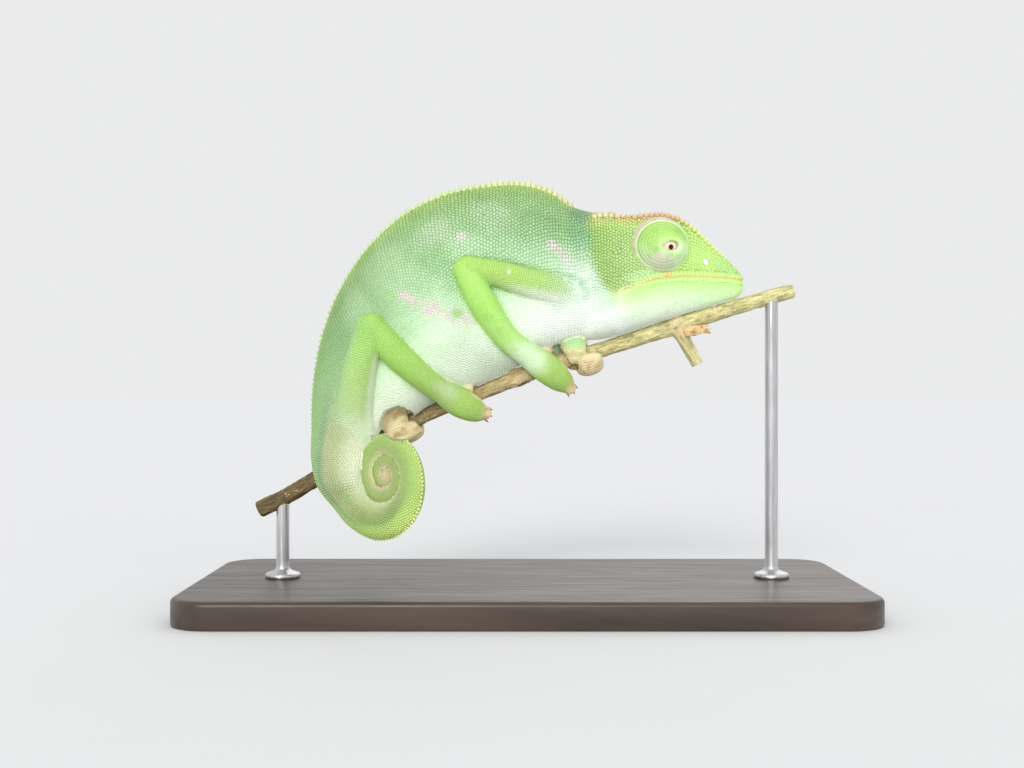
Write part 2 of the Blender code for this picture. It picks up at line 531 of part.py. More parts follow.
    limbs = {"upper_arm_right": (ARM_R, "forearm_right", FOREARM_R, "hand_right"),
             "upper_arm_left": (ARM_L, "forearm_left", FOREARM_L, "hand_left"),
             "thigh_right": (THIGH_R, "shank_right", SHANK_R, "foot_right"),
             "thigh_left": (THIGH_L, "shank_left", SHANK_L, "foot_left")}
    wrists = {}
    for upper_name, (upper, lower_name, lower, hand_name) in limbs.items():
        joint, normal = bend(upper, lower)
        a = loft(upper_name, rounded(limb_rings(upper, 7, 11), False, True), green)
        b = loft(lower_name, rounded(limb_rings(lower[:-1], 7, 11), True, False), green)
        trim(a, joint - normal * GAP / 2, normal)
        trim(b, joint + normal * GAP / 2, -normal)
        wrist = np.array(lower[-2][:3])
        along = unit(np.array(lower[-1][:3]) - np.array(lower[-3][:3]))
        trim(b, wrist - along * (GAP / 2 + 0.4), along)
        wrists[hand_name] = (wrist - along * (0.4 - GAP / 2), -along)
        boolean(a, trunk_cut, "DIFFERENCE")
        boolean(b, trunk_cut, "DIFFERENCE")
        if "thigh" in upper_name:
            boolean(a, tail_cut, "DIFFERENCE")
            boolean(a, coil_cut, "DIFFERENCE")

    # -- hands and feet
    def hand(name, key, mitt):
        wraps = [wrap_rings(w, 7, 8) for w in WRAPS[key]]
        room = [rounded(wrap_rings(w, 7, 8, GAP + 0.1), True, True) for w in WRAPS[key]]
        if mitt:
            body = limb_rings(mitt, 7, 10)
            room.append(rounded(limb_rings(mitt, 7, 12, GAP), True, True))
            obj = loft(name, rounded(body, False, True), green)
            trim(obj, *wrists[name])
            ends = claws_of(body, 3, 0.75, np.array([0, 0.25, -0.1]))
            parts = wraps
        else:
            lower = SHANK_L if key == "hl" else FOREARM_L
            palm = limb_rings(lower[-3:], 4, 10)
            obj = loft(name, rounded(palm, False, True), green)
            trim(obj, *wrists[name])
            ends, parts = [], wraps
        for i, w in enumerate(parts):
            boolean(obj, loft(f"cut_{name}_bundle{i}", rounded(w, True, True), cutter=True), "UNION")
            c = w[-1].mean(0)
            axis_c, _, _, _ = twig_frame(c[0])
            ends += claws_of(w, 2 if (mitt or i == 0) else 3, 0.6, -0.35 * unit(c - axis_c))
        for i, (start, direction) in enumerate(ends):
            boolean(obj, claw(f"cut_{name}_claw{i}", start, direction), "UNION")
        boolean(obj, twig_cut, "DIFFERENCE")
        return obj, [loft(f"cut_{name}_room{i}", w, cutter=True) for i, w in enumerate(room)]

    rooms = []
    for name, key, mitt, above in (("hand_right", "fr", MITT_FR, "forearm_right"), ("foot_right", "hr", MITT_HR, "shank_right"),
                                   ("hand_left", "fl", None, "forearm_left"), ("foot_left", "hl", None, "shank_left")):
        own = hand(name, key, mitt)[1]
        for r in own[:len(WRAPS[key])]:
            boolean(bpy.data.objects[above], r, "DIFFERENCE")
            if key == "hl":
                boolean(bpy.data.objects["thigh_left"], r, "DIFFERENCE")
                boolean(bpy.data.objects["tail_base"], r, "DIFFERENCE")
        rooms += own

    # -- soft flesh gives way to the twig and to the toes under it
    for o in (neck, trunk, jaw, tail_a):
        boolean(o, twig_cut, "DIFFERENCE")
    for r in rooms:
        boolean(trunk, r, "DIFFERENCE")
        boolean(neck, r, "DIFFERENCE")
    boolean(trunk, knot_cut, "DIFFERENCE")
    (px, pz), (long_half, short_half), tilt = FOOT_POCKET
    ring = []
    for k in range(14):
        a, t = 2 * math.pi * k / 14, math.radians(tilt)
        u, v = long_half * math.cos(a), short_half * math.sin(a)
        ring.append((u * math.cos(t) - v * math.sin(t), 0.0, u * math.sin(t) + v * math.cos(t)))
    ring = np.array(ring)
    pocket = np.array([ring + (px + 0.08 * d, -0.5 - d, pz + 0.03 * d) for d in (0.0, 6.0, 14.0)])
    for o in (trunk, tail_a):
        boolean(o, loft("cut_pocket_" + o.name, pocket, cutter=True), "DIFFERENCE")

    # -- stand
    bm = bmesh.new()
    n = 4
    outline = []
    for qx, qy, a0 in ((1, 1, 0), (-1, 1, 90), (-1, -1, 180), (1, -1, 270)):
        for k in range(n + 1):
            a = math.radians(a0 + 90 * k / n)
            outline.append((qx * (BASE_LENGTH / 2 - BASE_CORNER) + BASE_CORNER * math.cos(a),
                            qy * (BASE_DEPTH / 2 - BASE_CORNER) + BASE_CORNER * math.sin(a)))
    verts = [bm.verts.new((x * MM, y * MM, 0)) for x, y in outline]
    face = bm.faces.new(verts)
    top = bmesh.ops.extrude_face_region(bm, geom=[face])
    bmesh.ops.translate(bm, vec=(0, 0, BASE_HEIGHT * MM), verts=[v for v in top["geom"] if isinstance(v, bmesh.types.BMVert)])
    bmesh.ops.recalc_face_normals(bm, faces=bm.faces)
    mesh = bpy.data.meshes.new("stand_base")
    bm.to_mesh(mesh)
    bm.free()
    base = bpy.data.objects.new("stand_base", mesh)
    bpy.context.scene.collection.objects.link(base)
    mesh.materials.append(board)
    bev = base.modifiers.new("edge", "BEVEL")
    bev.width, bev.segments, bev.limit_method, bev.angle_limit = BASE_EDGE * MM, 1, "ANGLE", math.radians(60)
    for k, x in enumerate(ROD_X):
        c, _, _, rad = twig_frame(x)
        foot = BASE_HEIGHT + GAP
        prof = [(0, foot), (ROD_COLLAR_RADIUS, foot), (ROD_COLLAR_RADIUS, foot + ROD_COLLAR_HEIGHT * 0.6),
                (ROD_COLLAR_RADIUS * 0.7, foot + ROD_COLLAR_HEIGHT), (ROD_RADIUS, foot + ROD_COLLAR_HEIGHT + 0.4),
                (ROD_RADIUS, c[2] - 0.5), (0, c[2] - 0.5)]
        rod = turned(f"stand_rod_{'left' if k == 0 else 'right'}", prof, (x, c[1], 0), (0, 0, 1), 12, steel)
        boolean(rod, twig_cut, "DIFFERENCE")

    bpy.context.view_layer.update()
    for obj in [o for o in bpy.data.objects if not o.hide_render and o.modifiers and o.name != "stand_base"]:
        settle(obj)


build()
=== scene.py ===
"""Looks of the chameleon on its twig and display stand: one skin with solid scales over it."""

import math

import bmesh
import bpy
import numpy as np
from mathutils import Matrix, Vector
from mathutils.bvhtree import BVHTree
from mathutils.kdtree import KDTree


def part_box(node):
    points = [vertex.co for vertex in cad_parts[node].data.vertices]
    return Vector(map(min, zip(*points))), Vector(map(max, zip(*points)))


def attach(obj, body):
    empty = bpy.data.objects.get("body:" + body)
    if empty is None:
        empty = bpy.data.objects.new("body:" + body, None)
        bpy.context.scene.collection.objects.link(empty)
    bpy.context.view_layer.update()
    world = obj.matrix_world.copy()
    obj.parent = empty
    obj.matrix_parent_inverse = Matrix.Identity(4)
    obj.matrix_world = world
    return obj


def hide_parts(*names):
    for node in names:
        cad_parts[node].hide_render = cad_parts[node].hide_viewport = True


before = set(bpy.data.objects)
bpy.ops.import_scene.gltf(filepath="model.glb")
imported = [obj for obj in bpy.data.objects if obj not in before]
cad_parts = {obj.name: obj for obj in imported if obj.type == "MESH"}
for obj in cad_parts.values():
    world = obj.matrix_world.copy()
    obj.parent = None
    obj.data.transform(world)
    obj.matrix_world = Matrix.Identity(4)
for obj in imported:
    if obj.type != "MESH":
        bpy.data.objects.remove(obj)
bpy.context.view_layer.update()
MM = 0.001
COAT = 0.22              # how far the skin lies under the outline, mm
rng = np.random.default_rng(7)

# ================================================================ shape tables, in mm
TWIG = [
    (-61.5, 0.6, 21.6, 2.0), (-55.4, 0.4, 24.6, 1.95), (-49.2, 0.2, 28.3, 1.9), (-40.5, 0, 33.9, 1.85),
    (-29.0, 0, 40.65, 1.8), (-19.8, 0, 44.95, 1.75), (-10.6, 0, 48.5, 1.75), (-1.4, 0, 52.3, 1.85),
    (7.8, 0, 55.5, 1.8), (17.0, 0, 58.4, 1.85), (26.2, 0, 61.3, 1.9), (35.4, 0, 64.2, 1.95),
    (44.6, 0, 67.2, 1.9), (53.8, 0.2, 69.9, 1.8), (61.5, 0.4, 72.1, 1.75)]
SPINE = [
    (22.5, 0.0, 77.0, 99, 0, 13.4, 6.2, 0.25, 0.10),
    (17.0, 0.0, 75.8, 97, 0, 14.6, 7.2, 0.30, 0.10),
    (11.5, 0.0, 76.3, 93.5, 0, 15.3, 8.1, 0.38, 0.12),
    (5.8, 0.0, 76.9, 91, 0, 17.9, 9.4, 0.50, 0.14),
    (-1.4, 0.0, 75.6, 90, 0, 21.0, 10.8, 0.55, 0.16),
    (-9.1, 0.0, 73.6, 91, 0, 22.6, 11.7, 0.55, 0.18),
    (-16.3, -0.2, 71.6, 95.5, 0, 22.8, 12.1, 0.55, 0.18),
    (-23.2, -0.7, 68.4, 102, 0, 21.9, 12.0, 0.55, 0.18),
    (-29.1, -1.6, 63.9, 109.5, 0, 19.8, 11.4, 0.55, 0.16),
    (-33.9, -2.8, 58.2, 118, 2, 17.2, 10.3, 0.55, 0.12),
    (-37.8, -3.4, 52.5, 130, 6, 13.3, 8.6, 0.50, 0.04),
    (-40.3, -4.9, 45.9, 147, 13, 10.0, 7.2, 0.42, 0.0),
    (-41.7, -6.3, 39.0, 167, 20, 7.6, 5.7, 0.35, 0.0),
    (-42.7, -7.0, 33.3, 179, 27, 6.6, 4.6, 0.30, 0.0),
    (-42.35, -6.55, 28.15, 191, 33, 5.65, 4.1, 0.28, 0.0)]
COIL_CENTRE = (-31.0, -13.5, 30.7)
COIL_TURN = 42.0
COIL_RADIUS = {210: 12.95, 240: 11.6, 270: 10.6, 315: 9.6, 360: 8.7, 405: 7.9, 450: 7.1, 495: 6.45, 540: 5.95, 585: 5.45}
COIL_HEIGHT = {210: 4.95, 240: 4.3, 270: 3.9, 315: 3.4, 360: 2.9, 405: 2.5, 450: 2.15, 495: 1.93, 540: 1.78, 630: 1.55,
               720: 1.38, 810: 1.24, 900: 1.12, 990: 1.0, 1080: 0.88, 1170: 0.74, 1260: 0.58, 1320: 0.45}
COIL_END = 1290
GAP = 0.3
HEAD = [
    (11.0, 86.6, 85.9, 2.2, 82.0, 4.2, 76.0, 5.4, 69.0, 5.2, 65.6, 4.4, 61.3),
    (15.2, 89.2, 89.0, 3.5, 84.6, 6.0, 77.0, 7.7, 69.6, 7.5, 64.8, 6.2, 60.5),
    (19.8, 89.2, 89.1, 4.9, 84.8, 7.0, 77.0, 8.8, 70.8, 8.4, 65.3, 6.9, 61.1),
    (25.0, 88.3, 88.9, 6.0, 84.4, 7.2, 77.2, 8.8, 72.85, 8.5, 66.6, 6.8, 62.7),
    (30.0, 88.0, 89.2, 6.5, 83.4, 6.3, 77.2, 7.7, 74.15, 8.0, 67.9, 6.3, 64.25),
    (34.5, 86.9, 88.1, 6.1, 82.4, 5.5, 77.6, 6.8, 74.6, 7.1, 69.1, 5.5, 65.7),
    (38.5, 84.6, 85.6, 4.9, 81.4, 4.8, 77.8, 5.9, 74.65, 6.2, 69.9, 4.7, 67.0),
    (42.5, 81.3, 82.0, 3.9, 79.8, 4.3, 77.4, 5.0, 74.55, 5.2, 70.6, 3.9, 68.25),
    (46.1, 78.7, 79.0, 2.8, 77.8, 3.4, 76.4, 3.9, 74.4, 4.1, 71.2, 3.0, 69.45),
    (48.8, 76.2, 76.3, 1.8, 75.9, 2.2, 75.4, 2.6, 74.2, 2.9, 71.8, 2.2, 70.55),
    (50.3, 74.7, 74.7, 0.7, 74.55, 0.9, 74.4, 1.1, 74.1, 1.3, 72.9, 1.0, 72.2)]
TURRET_CENTRE, TURRET_AXIS = (30.0, 4.8, 81.7), (0.31, 0.95, -0.05)
TURRET = [(0.0, -4.0), (4.9, -3.6), (6.5, -1.6), (6.75, 0.0), (6.6, 1.5), (6.0, 3.1), (5.0, 4.5), (3.8, 5.5),
          (2.7, 6.15), (2.05, 6.4), (1.7, 6.2), (1.6, 5.0), (0.0, 5.0)]
ARM_R = [(15.0, -2.0, 70.3, 5.0, 3.6), (8.6, -6.6, 71.5, 4.3, 3.5), (0.6, -10.3, 73.2, 3.5, 3.1),
         (-6.8, -12.2, 75.2, 3.15, 2.9), (-13.3, -13.2, 76.4, 2.95, 2.8)]
FOREARM_R = [(-13.5, -13.2, 76.0, 3.0, 2.8), (-10.1, -12.4, 69.3, 3.25, 2.8), (-7.3, -11.0, 64.7, 3.1, 2.7),
             (-3.9, -8.9, 60.4, 2.95, 2.6), (0.2, -6.3, 57.3, 3.0, 2.5), (3.2, -5.2, 55.4, 3.2, 2.4)]
THIGH_R = [(-37.0, -6.5, 37.5, 4.4, 4.2), (-38.3, -9.6, 43.4, 4.4, 4.0), (-37.5, -12.2, 50.6, 4.0, 3.6),
           (-35.7, -14.4, 58.2, 3.6, 3.1), (-34.3, -15.2, 63.4, 3.35, 2.9)]
SHANK_R = [(-34.3, -15.2, 63.4, 3.35, 2.9), (-30.6, -14.3, 59.1, 3.35, 2.9), (-26.8, -12.5, 55.3, 3.25, 2.8),
           (-22.9, -9.9, 51.9, 3.0, 2.6), (-18.9, -6.6, 48.8, 2.9, 2.4), (-16.2, -5.2, 47.4, 3.1, 2.3)]
ARM_L = [(15.0, 2.0, 70.3, 5.0, 3.6), (8.8, 6.6, 71.2, 4.3, 3.5), (2.4, 10.2, 72.2, 3.5, 3.1),
         (-2.6, 12.4, 73.0, 3.15, 2.9), (-7.4, 13.6, 73.6, 2.95, 2.8)]
FOREARM_L = [(-7.4, 13.6, 73.4, 3.0, 2.8), (-2.6, 12.7, 68.0, 3.2, 2.7), (2.0, 11.0, 63.7, 3.0, 2.6),
             (6.2, 8.8, 60.4, 2.8, 2.4), (9.8, 6.2, 58.2, 2.7, 2.3), (12.2, 4.2, 57.2, 2.7, 2.2)]
THIGH_L = [(-38.5, -3.5, 43.5, 4.0, 3.4), (-35.3, 2.6, 45.9, 4.1, 3.6), (-29.5, 9.6, 49.8, 3.9, 3.5),
           (-23.5, 14.2, 53.6, 3.5, 3.0), (-18.0, 16.8, 56.4, 3.3, 2.9)]
SHANK_L = [(-18.0, 16.8, 56.4, 3.3, 2.9), (-20.2, 14.4, 52.0, 3.3, 2.8), (-23.0, 11.0, 47.8, 3.1, 2.7),
           (-26.2, 7.2, 44.2, 2.8, 2.4), (-29.0, 4.4, 41.8, 2.7, 2.2), (-30.2, 3.2, 40.9, 2.7, 2.1)]
MITT_FR = [(0.4, -6.2, 57.2, 3.0, 2.5), (3.2, -4.9, 55.2, 3.5, 2.45), (6.2, -4.2, 52.9, 3.4, 2.3),
           (8.6, -3.3, 50.9, 2.7, 2.0), (10.0, -2.4, 49.6, 1.6, 1.5)]
MITT_HR = [(-18.9, -6.6, 48.9, 2.9, 2.5), (-16.2, -4.9, 47.1, 3.5, 2.45), (-13.2, -4.2, 45.5, 3.4, 2.3),
           (-10.9, -3.5, 44.4, 2.7, 2.0), (-9.3, -2.7, 43.9, 1.7, 1.5)]
WRAPS = {
    "fr": [(4.0, 6.6, 62, -62, 3.5, 2.2, 1.65)],
    "hr": [(-13.4, -11.6, 62, -62, 3.2, 2.1, 1.6)],
    "fl": [(12.1, 11.6, -112, 98, 3.2, 3.3, 1.6, 0.12), (13.6, 14.2, -104, -250, 3.4, 3.2, 1.8, 0.05)],
    "hl": [(-29.2, -30.9, -112, 100, 2.95, 3.4, 1.35, 0.20), (-27.2, -28.0, -104, -250, 3.05, 3.2, 1.6, 0.0)]}
CREST_PITCH, CREST_HEIGHT = 1.32, 1.15
FOOT_POCKET = ((-29.4, 41.2), (4.1, 3.7), 24.0)


# ================================================================ curves and lofts
class Track:
    def __init__(self, rows):
        self.k = np.array(rows, float)
        step = np.linalg.norm(np.diff(self.k[:, :3], axis=0), axis=1)
        self.s = np.concatenate([[0.0], np.cumsum(step)])
        slope = np.diff(self.k, axis=0) / step[:, None]
        m = np.empty_like(self.k)
        m[0], m[-1] = slope[0], slope[-1]
        a, b = step[:-1, None], step[1:, None]
        m[1:-1] = (slope[:-1] * b + slope[1:] * a) / (a + b)
        self.m = m
        self.length = float(self.s[-1])

    def at(self, s):
        s = np.clip(np.atleast_1d(np.asarray(s, float)), 0, self.length)
        i = np.clip(np.searchsorted(self.s, s, side="right") - 1, 0, len(self.s) - 2)
        h = (self.s[i + 1] - self.s[i])[:, None]
        t = (s - self.s[i])[:, None] / h
        return ((2 * t**3 - 3 * t**2 + 1) * self.k[i] + (t**3 - 2 * t**2 + t) * h * self.m[i]
                + (3 * t**2 - 2 * t**3) * self.k[i + 1] + (t**3 - t**2) * h * self.m[i + 1])

    def tangent(self, s):
        d = self.at(np.asarray(s) + 0.05)[:, :3] - self.at(np.asarray(s) - 0.05)[:, :3]
        return d / np.maximum(np.linalg.norm(d, axis=1, keepdims=True), 1e-9)


def unit(v):
    return v / np.maximum(np.linalg.norm(v, axis=-1, keepdims=True), 1e-12)


def smooth(x, a, b):
    t = np.clip((np.asarray(x, float) - a) / (b - a), 0, 1)
    return t * t * (3 - 2 * t)


def table(sizes, at):
    keys = sorted(sizes)
    return float(np.interp(at, keys, [sizes[k] for k in keys]))


def coil_rows(gap=GAP, step=15):
    radius, rows = {}, []
    cx, cy, cz = COIL_CENTRE
    turn = math.radians(COIL_TURN)
    for a in range(210, COIL_END + 1, step):
        h = table(COIL_HEIGHT, a)
        r = table(COIL_RADIUS, a) if a <= 570 else radius[a - 360] - table(COIL_HEIGHT, a - 360) - h - gap
        radius[a] = r
        c, s = r * math.cos(math.radians(a)), r * math.sin(math.radians(a))
        lean = COIL_TURN - max(0, 270 - a) * 0.11
        rows.append((cx + c * math.cos(turn), cy - c * math.sin(turn), cz + s, a, lean, h,
                     h * (0.86 if a > 400 else 0.84), 0.28 if a < 600 else 0.15, 0.0))
    return rows


SPINE_TRACK = Track(SPINE + coil_rows())
TWIG_TRACK = Track(TWIG)
TWIG_KEYS = np.array(TWIG)


def spine_frame(s):
    r = SPINE_TRACK.at(s)
    beta, turn = np.radians(r[:, 3]), np.radians(r[:, 4])
    zero = np.zeros(len(r))
    e1 = np.stack([np.cos(turn), -np.sin(turn), zero], 1)
    side = np.stack([-np.sin(turn), -np.cos(turn), zero], 1)
    up = np.cos(beta)[:, None] * e1 + np.sin(beta)[:, None] * np.array([0, 0, 1.0])
    return r, up, side


def spine_points(s, a, grow=0.0):
    """Points on the body at distances s along the spine and angles a round it (same length)."""
    r, up, side = spine_frame(s)
    c, n = np.cos(a), np.sin(a)
    sharp = 1 + r[:, 7] * np.clip(c, 0, 1) ** 1.5 + 0.45 * r[:, 7] * np.clip(-c, 0, 1) ** 2
    wide = (r[:, 6] + grow) * np.sign(n) * np.abs(n) ** sharp * (1 - r[:, 8] * c)
    high = (r[:, 5] + grow) * c
    return r[:, :3] + high[:, None] * up + wide[:, None] * side


def spine_rings(s, around, grow=0.0):
    s = np.atleast_1d(s)
    a = np.arange(around) * 2 * math.pi / around
    S, A = np.repeat(s, around), np.tile(a, len(s))
    return spine_points(S, A, grow).reshape(len(s), around, 3)


def limb_rings(rows, n, around, grow=0.0, thin=(0.0, -1.0, 0.0)):
    t = Track(rows)
    s = np.linspace(0, t.length, n)
    r, along = t.at(s), t.tangent(s)
    thin = np.array(thin, float)
    if thin.ndim == 2 and len(thin) != n:
        f = np.linspace(0, len(thin) - 1, n)
        thin = np.stack([np.interp(f, np.arange(len(thin)), thin[:, k]) for k in range(3)], 1)
    thin = np.broadcast_to(thin, along.shape)
    thin = unit(thin - (thin * along).sum(1, keepdims=True) * along)
    wide = np.cross(thin, along)
    a = np.arange(around) * 2 * math.pi / around
    return (r[:, None, :3] + (r[:, 3:4] + grow)[..., None] * np.cos(a)[None, :, None] * wide[:, None]
            + (r[:, 4:5] + grow)[..., None] * np.sin(a)[None, :, None] * thin[:, None])


def twig_frame(x):
    s = np.interp(x, TWIG_KEYS[:, 0], TWIG_TRACK.s)
    row, along = TWIG_TRACK.at(s), TWIG_TRACK.tangent(np.atleast_1d(s))
    up = unit(np.array([0, 0, 1.0]) - along[:, 2:3] * along)
    return row[:, :3], along, up, row[:, 3]


def wrap_rows(x0, x1, a0, a1, rho, wide, thick, narrows=0.42, n=17):
    f = np.linspace(0, 1, n)
    a = np.radians(a0 + (a1 - a0) * f)
    c, along, up, _ = twig_frame(x0 + (x1 - x0) * f)
    near = np.cross(along, up)
    out = np.cos(a)[:, None] * up + np.sin(a)[:, None] * near
    fall = np.clip((f - 0.45) / 0.55, 0, 1) ** 1.6
    slim = 1 - 0.3 * fall
    p = c + (rho - (1 - slim) * thick)[:, None] * out
    rows = np.concatenate([p, (wide * (1 - narrows * fall))[:, None], (thick * slim)[:, None]], 1)
    return rows, out


def rounded(rings, first=True, last=True, steps=5):
    def tip(ring, out):
        c = ring.mean(0)
        size = np.linalg.norm(ring - c, axis=1).min()
        return [c + (ring - c) * math.cos(k * math.pi / 2 / (steps + 0.35)) + out * size * math.sin(k * math.pi / 2 / (steps + 0.35))
                for k in range(1, steps + 1)]
    out = list(rings)
    if last:
        out += tip(rings[-1], unit(rings[-1].mean(0) - rings[-2].mean(0)))
    if first:
        out = tip(rings[0], unit(rings[0].mean(0) - rings[1].mean(0)))[::-1] + out
    return np.array(out)


HEAD_KEYS = np.array(HEAD)
HEAD_TRACK = Track(np.concatenate([HEAD_KEYS[:, :1], np.zeros((len(HEAD), 2)), HEAD_KEYS[:, 1:]], axis=1))


def head_row(x):
    r = HEAD_TRACK.at(np.interp(x, HEAD_KEYS[:, 0], HEAD_TRACK.s))[0]
    return (float(x), *r[3:])


def head_outline(row):
    """Key points of a half cross section of the head, from the crown down to the chin."""
    x, zm, zc, wc, zt, wt, zk, wk, zl, wl, zj, wj, zb = row
    return np.array([(0, zm), (0.55 * wc, 0.5 * (zm + zc)), (wc * 0.93, zc + 0.02), (wc, zc - 0.5), (0.35 * wc + 0.65 * wt, 0.45 * zc + 0.55 * zt),
                     (wt, zt), (0.5 * (wt + wk), 0.5 * (zt + zk)), (wk, zk), (wl, min(zl + 1.0, 0.5 * (zl + zk))), (wl - 0.1, zl),
                     (wl * 0.97, zl - 0.25 * (zl - zj)), (0.45 * wl + 0.55 * wj, 0.35 * zl + 0.65 * zj), (wj, zj),
                     (0.72 * wj, 0.42 * zj + 0.58 * zb), (0.38 * wj, 0.12 * zj + 0.88 * zb), (0, zb)], float)


def head_ring(x, around=72, grow=0.0):
    half = head_outline(head_row(x))
    full = np.concatenate([half, half[-2:0:-1] * [-1, 1]])
    n = len(full)
    # a smooth closed curve through the key points, evenly spaced
    t = np.arange(n * 8) / 8
    i = t.astype(int)
    f = (t - i)[:, None]
    p0, p1, p2, p3 = (full[(i + k) % n] for k in (-1, 0, 1, 2))
    q = 0.5 * (2 * p1 + (p2 - p0) * f + (2 * p0 - 5 * p1 + 4 * p2 - p3) * f**2 + (3 * p1 - p0 - 3 * p2 + p3) * f**3)
    q = np.concatenate([q, q[:1]])
    d = np.concatenate([[0], np.cumsum(np.linalg.norm(np.diff(q, axis=0), axis=1))])
    u = np.arange(around) / around * d[-1]
    p = np.stack([np.interp(u, d, q[:, 0]), np.interp(u, d, q[:, 1])], 1)
    if grow:
        tg = np.roll(p, -1, 0) - np.roll(p, 1, 0)
        nm = unit(np.stack([tg[:, 1], -tg[:, 0]], 1))
        if (nm * (p - p.mean(0))).sum() < 0:
            nm = -nm
        p = p + nm * grow
    return np.stack([np.full(around, x), p[:, 0], p[:, 1]], 1)


def turned_points(profile, centre, axis, around, grow=0.0):
    centre, axis = np.array(centre, float), unit(np.array(axis, float))
    u = unit(np.cross(axis, [0, 0, 1.0]))
    v = np.cross(u, axis)
    prof = np.array(profile, float)
    a = np.arange(around) * 2 * math.pi / around
    ring = np.cos(a)[:, None] * u + np.sin(a)[:, None] * v
    return np.array([centre + axis * d + max(r + grow, 0.02) * ring for r, d in prof])


# ================================================================ mesh helpers
def mesh_from(name, points, faces):
    mesh = bpy.data.meshes.new(name)
    mesh.from_pydata((np.asarray(points, float) * MM).tolist(), [], faces)
    obj = bpy.data.objects.new(name, mesh)
    bpy.context.scene.collection.objects.link(obj)
    return obj


def fast_mesh(name, points, loops, starts, totals):
    """A mesh from flat arrays: points in mm, vertex index of every corner, and each face's start and size."""
    mesh = bpy.data.meshes.new(name)
    mesh.vertices.add(len(points))
    mesh.vertices.foreach_set("co", (np.asarray(points, np.float32) * MM).ravel())
    mesh.loops.add(len(loops))
    mesh.loops.foreach_set("vertex_index", np.asarray(loops, np.int32))
    mesh.polygons.add(len(starts))
    mesh.polygons.foreach_set("loop_start", np.asarray(starts, np.int32))
    mesh.polygons.foreach_set("loop_total", np.asarray(totals, np.int32))
    mesh.update(calc_edges=True)
    mesh.validate()
    obj = bpy.data.objects.new(name, mesh)
    bpy.context.scene.collection.objects.link(obj)
    return obj


def loft_faces(n, m, base=0):
    i, j = np.meshgrid(np.arange(n - 1), np.arange(m), indexing="ij")
    i, j = i.ravel(), j.ravel()
    k = (j + 1) % m
    q = np.stack([i * m + j, i * m + k, (i + 1) * m + k, (i + 1) * m + j], 1) + base
    return q.tolist() + [tuple(base + np.arange(m)), tuple(base + (n - 1) * m + np.arange(m))]


def outward(obj):
    bm = bmesh.new()
    bm.from_mesh(obj.data)
    bmesh.ops.recalc_face_normals(bm, faces=bm.faces)
    if bm.calc_volume(signed=True) < 0:
        bmesh.ops.reverse_faces(bm, faces=bm.faces)
    bm.to_mesh(obj.data)
    bm.free()
    return obj


def loft(name, rings):
    n, m = rings.shape[:2]
    return outward(mesh_from(name, rings.reshape(-1, 3), loft_faces(n, m)))


def applied(obj):
    graph = bpy.context.evaluated_depsgraph_get()
    done = bpy.data.meshes.new_from_object(obj.evaluated_get(graph))
    obj.modifiers.clear()
    old = obj.data
    obj.data = done
    bpy.data.meshes.remove(old)
    return obj


def coords(obj):
    co = np.empty(len(obj.data.vertices) * 3, np.float32)
    obj.data.vertices.foreach_get("co", co)
    return co.reshape(-1, 3).astype(float) / MM


def put(obj, co):
    obj.data.vertices.foreach_set("co", (co * MM).astype(np.float32).ravel())
    obj.data.update()


def edges_of(obj):
    e = np.empty(len(obj.data.edges) * 2, np.int32)
    obj.data.edges.foreach_get("vertices", e)
    return e.reshape(-1, 2)


def relax(co, edges, rounds, up=0.5, down=-0.53, where=None):
    """Taubin smoothing: evens out bumps without shrinking the shape."""
    n = len(co)
    degree = np.bincount(edges.ravel(), minlength=n)[:, None].clip(1)
    for k in range(rounds):
        for lam in (up, down):
            total = np.zeros_like(co)
            for c in range(3):
                total[:, c] = (np.bincount(edges[:, 0], weights=co[edges[:, 1], c], minlength=n)
                               + np.bincount(edges[:, 1], weights=co[edges[:, 0], c], minlength=n))
            step = lam * (total / degree - co)
            co = co + (step if where is None else step * where[:, None])
    return co


# ================================================================ the skin
SPINE_END = SPINE_TRACK.length
COIL_ANGLES = np.array([r[3] for r in coil_rows()])


def coil_angle(s):
    return np.interp(s, SPINE_TRACK.s[len(SPINE):], COIL_ANGLES, left=0)


TURRET_FRAMES = []                    # centre, axis, forward and up of each eye turret: 0 right, 1 left
for sign in (-1, 1):
    axis = unit(np.array((TURRET_AXIS[0], sign * TURRET_AXIS[1], TURRET_AXIS[2])))
    ahead = unit(np.cross(axis, [0, 0, 1.0]))
    TURRET_FRAMES.append((np.array((TURRET_CENTRE[0], sign * TURRET_CENTRE[1], TURRET_CENTRE[2])), axis,
                          ahead * sign, np.cross(ahead, axis)))


def turret_local(points, k):
    """Distance along the turret's axis, and forward and up of it."""
    centre, axis, ahead, up = TURRET_FRAMES[k]
    d = points - centre
    return d @ axis, d @ ahead, d @ up


def almond(points, k):
    """Draws the round opening of a turret in from above and below, to the slit between the lids."""
    centre, axis, ahead, up = TURRET_FRAMES[k]
    out, h, w = turret_local(points, k)
    r = np.hypot(h, w)
    near_lid = np.where(out > 4.0, 1 - smooth(r, 1.7, 3.4), 0.0)
    return points + (-0.34 * w * near_lid)[:, None] * up + (near_lid * (0.22 * h + 0.33))[:, None] * ahead


def close_coil(s, rings):
    """Fills the belly side of each inner turn out to the back of the next, so the coil is one closed disc."""
    more = (2 * COAT + GAP + 0.12) * smooth(s, SPINE_TRACK.s[12] + 2, SPINE_TRACK.s[13] + 3) * (1 - 0.55 * smooth(coil_angle(s), 1000, 1290))
    _, up, _ = spine_frame(s)
    rel = ((rings - rings.mean(1, keepdims=True)) * up[:, None]).sum(2)
    low = np.clip(-rel / np.maximum(-rel.min(1, keepdims=True), 1e-6), 0, 1)
    return rings - (low * more[:, None])[..., None] * up[:, None]


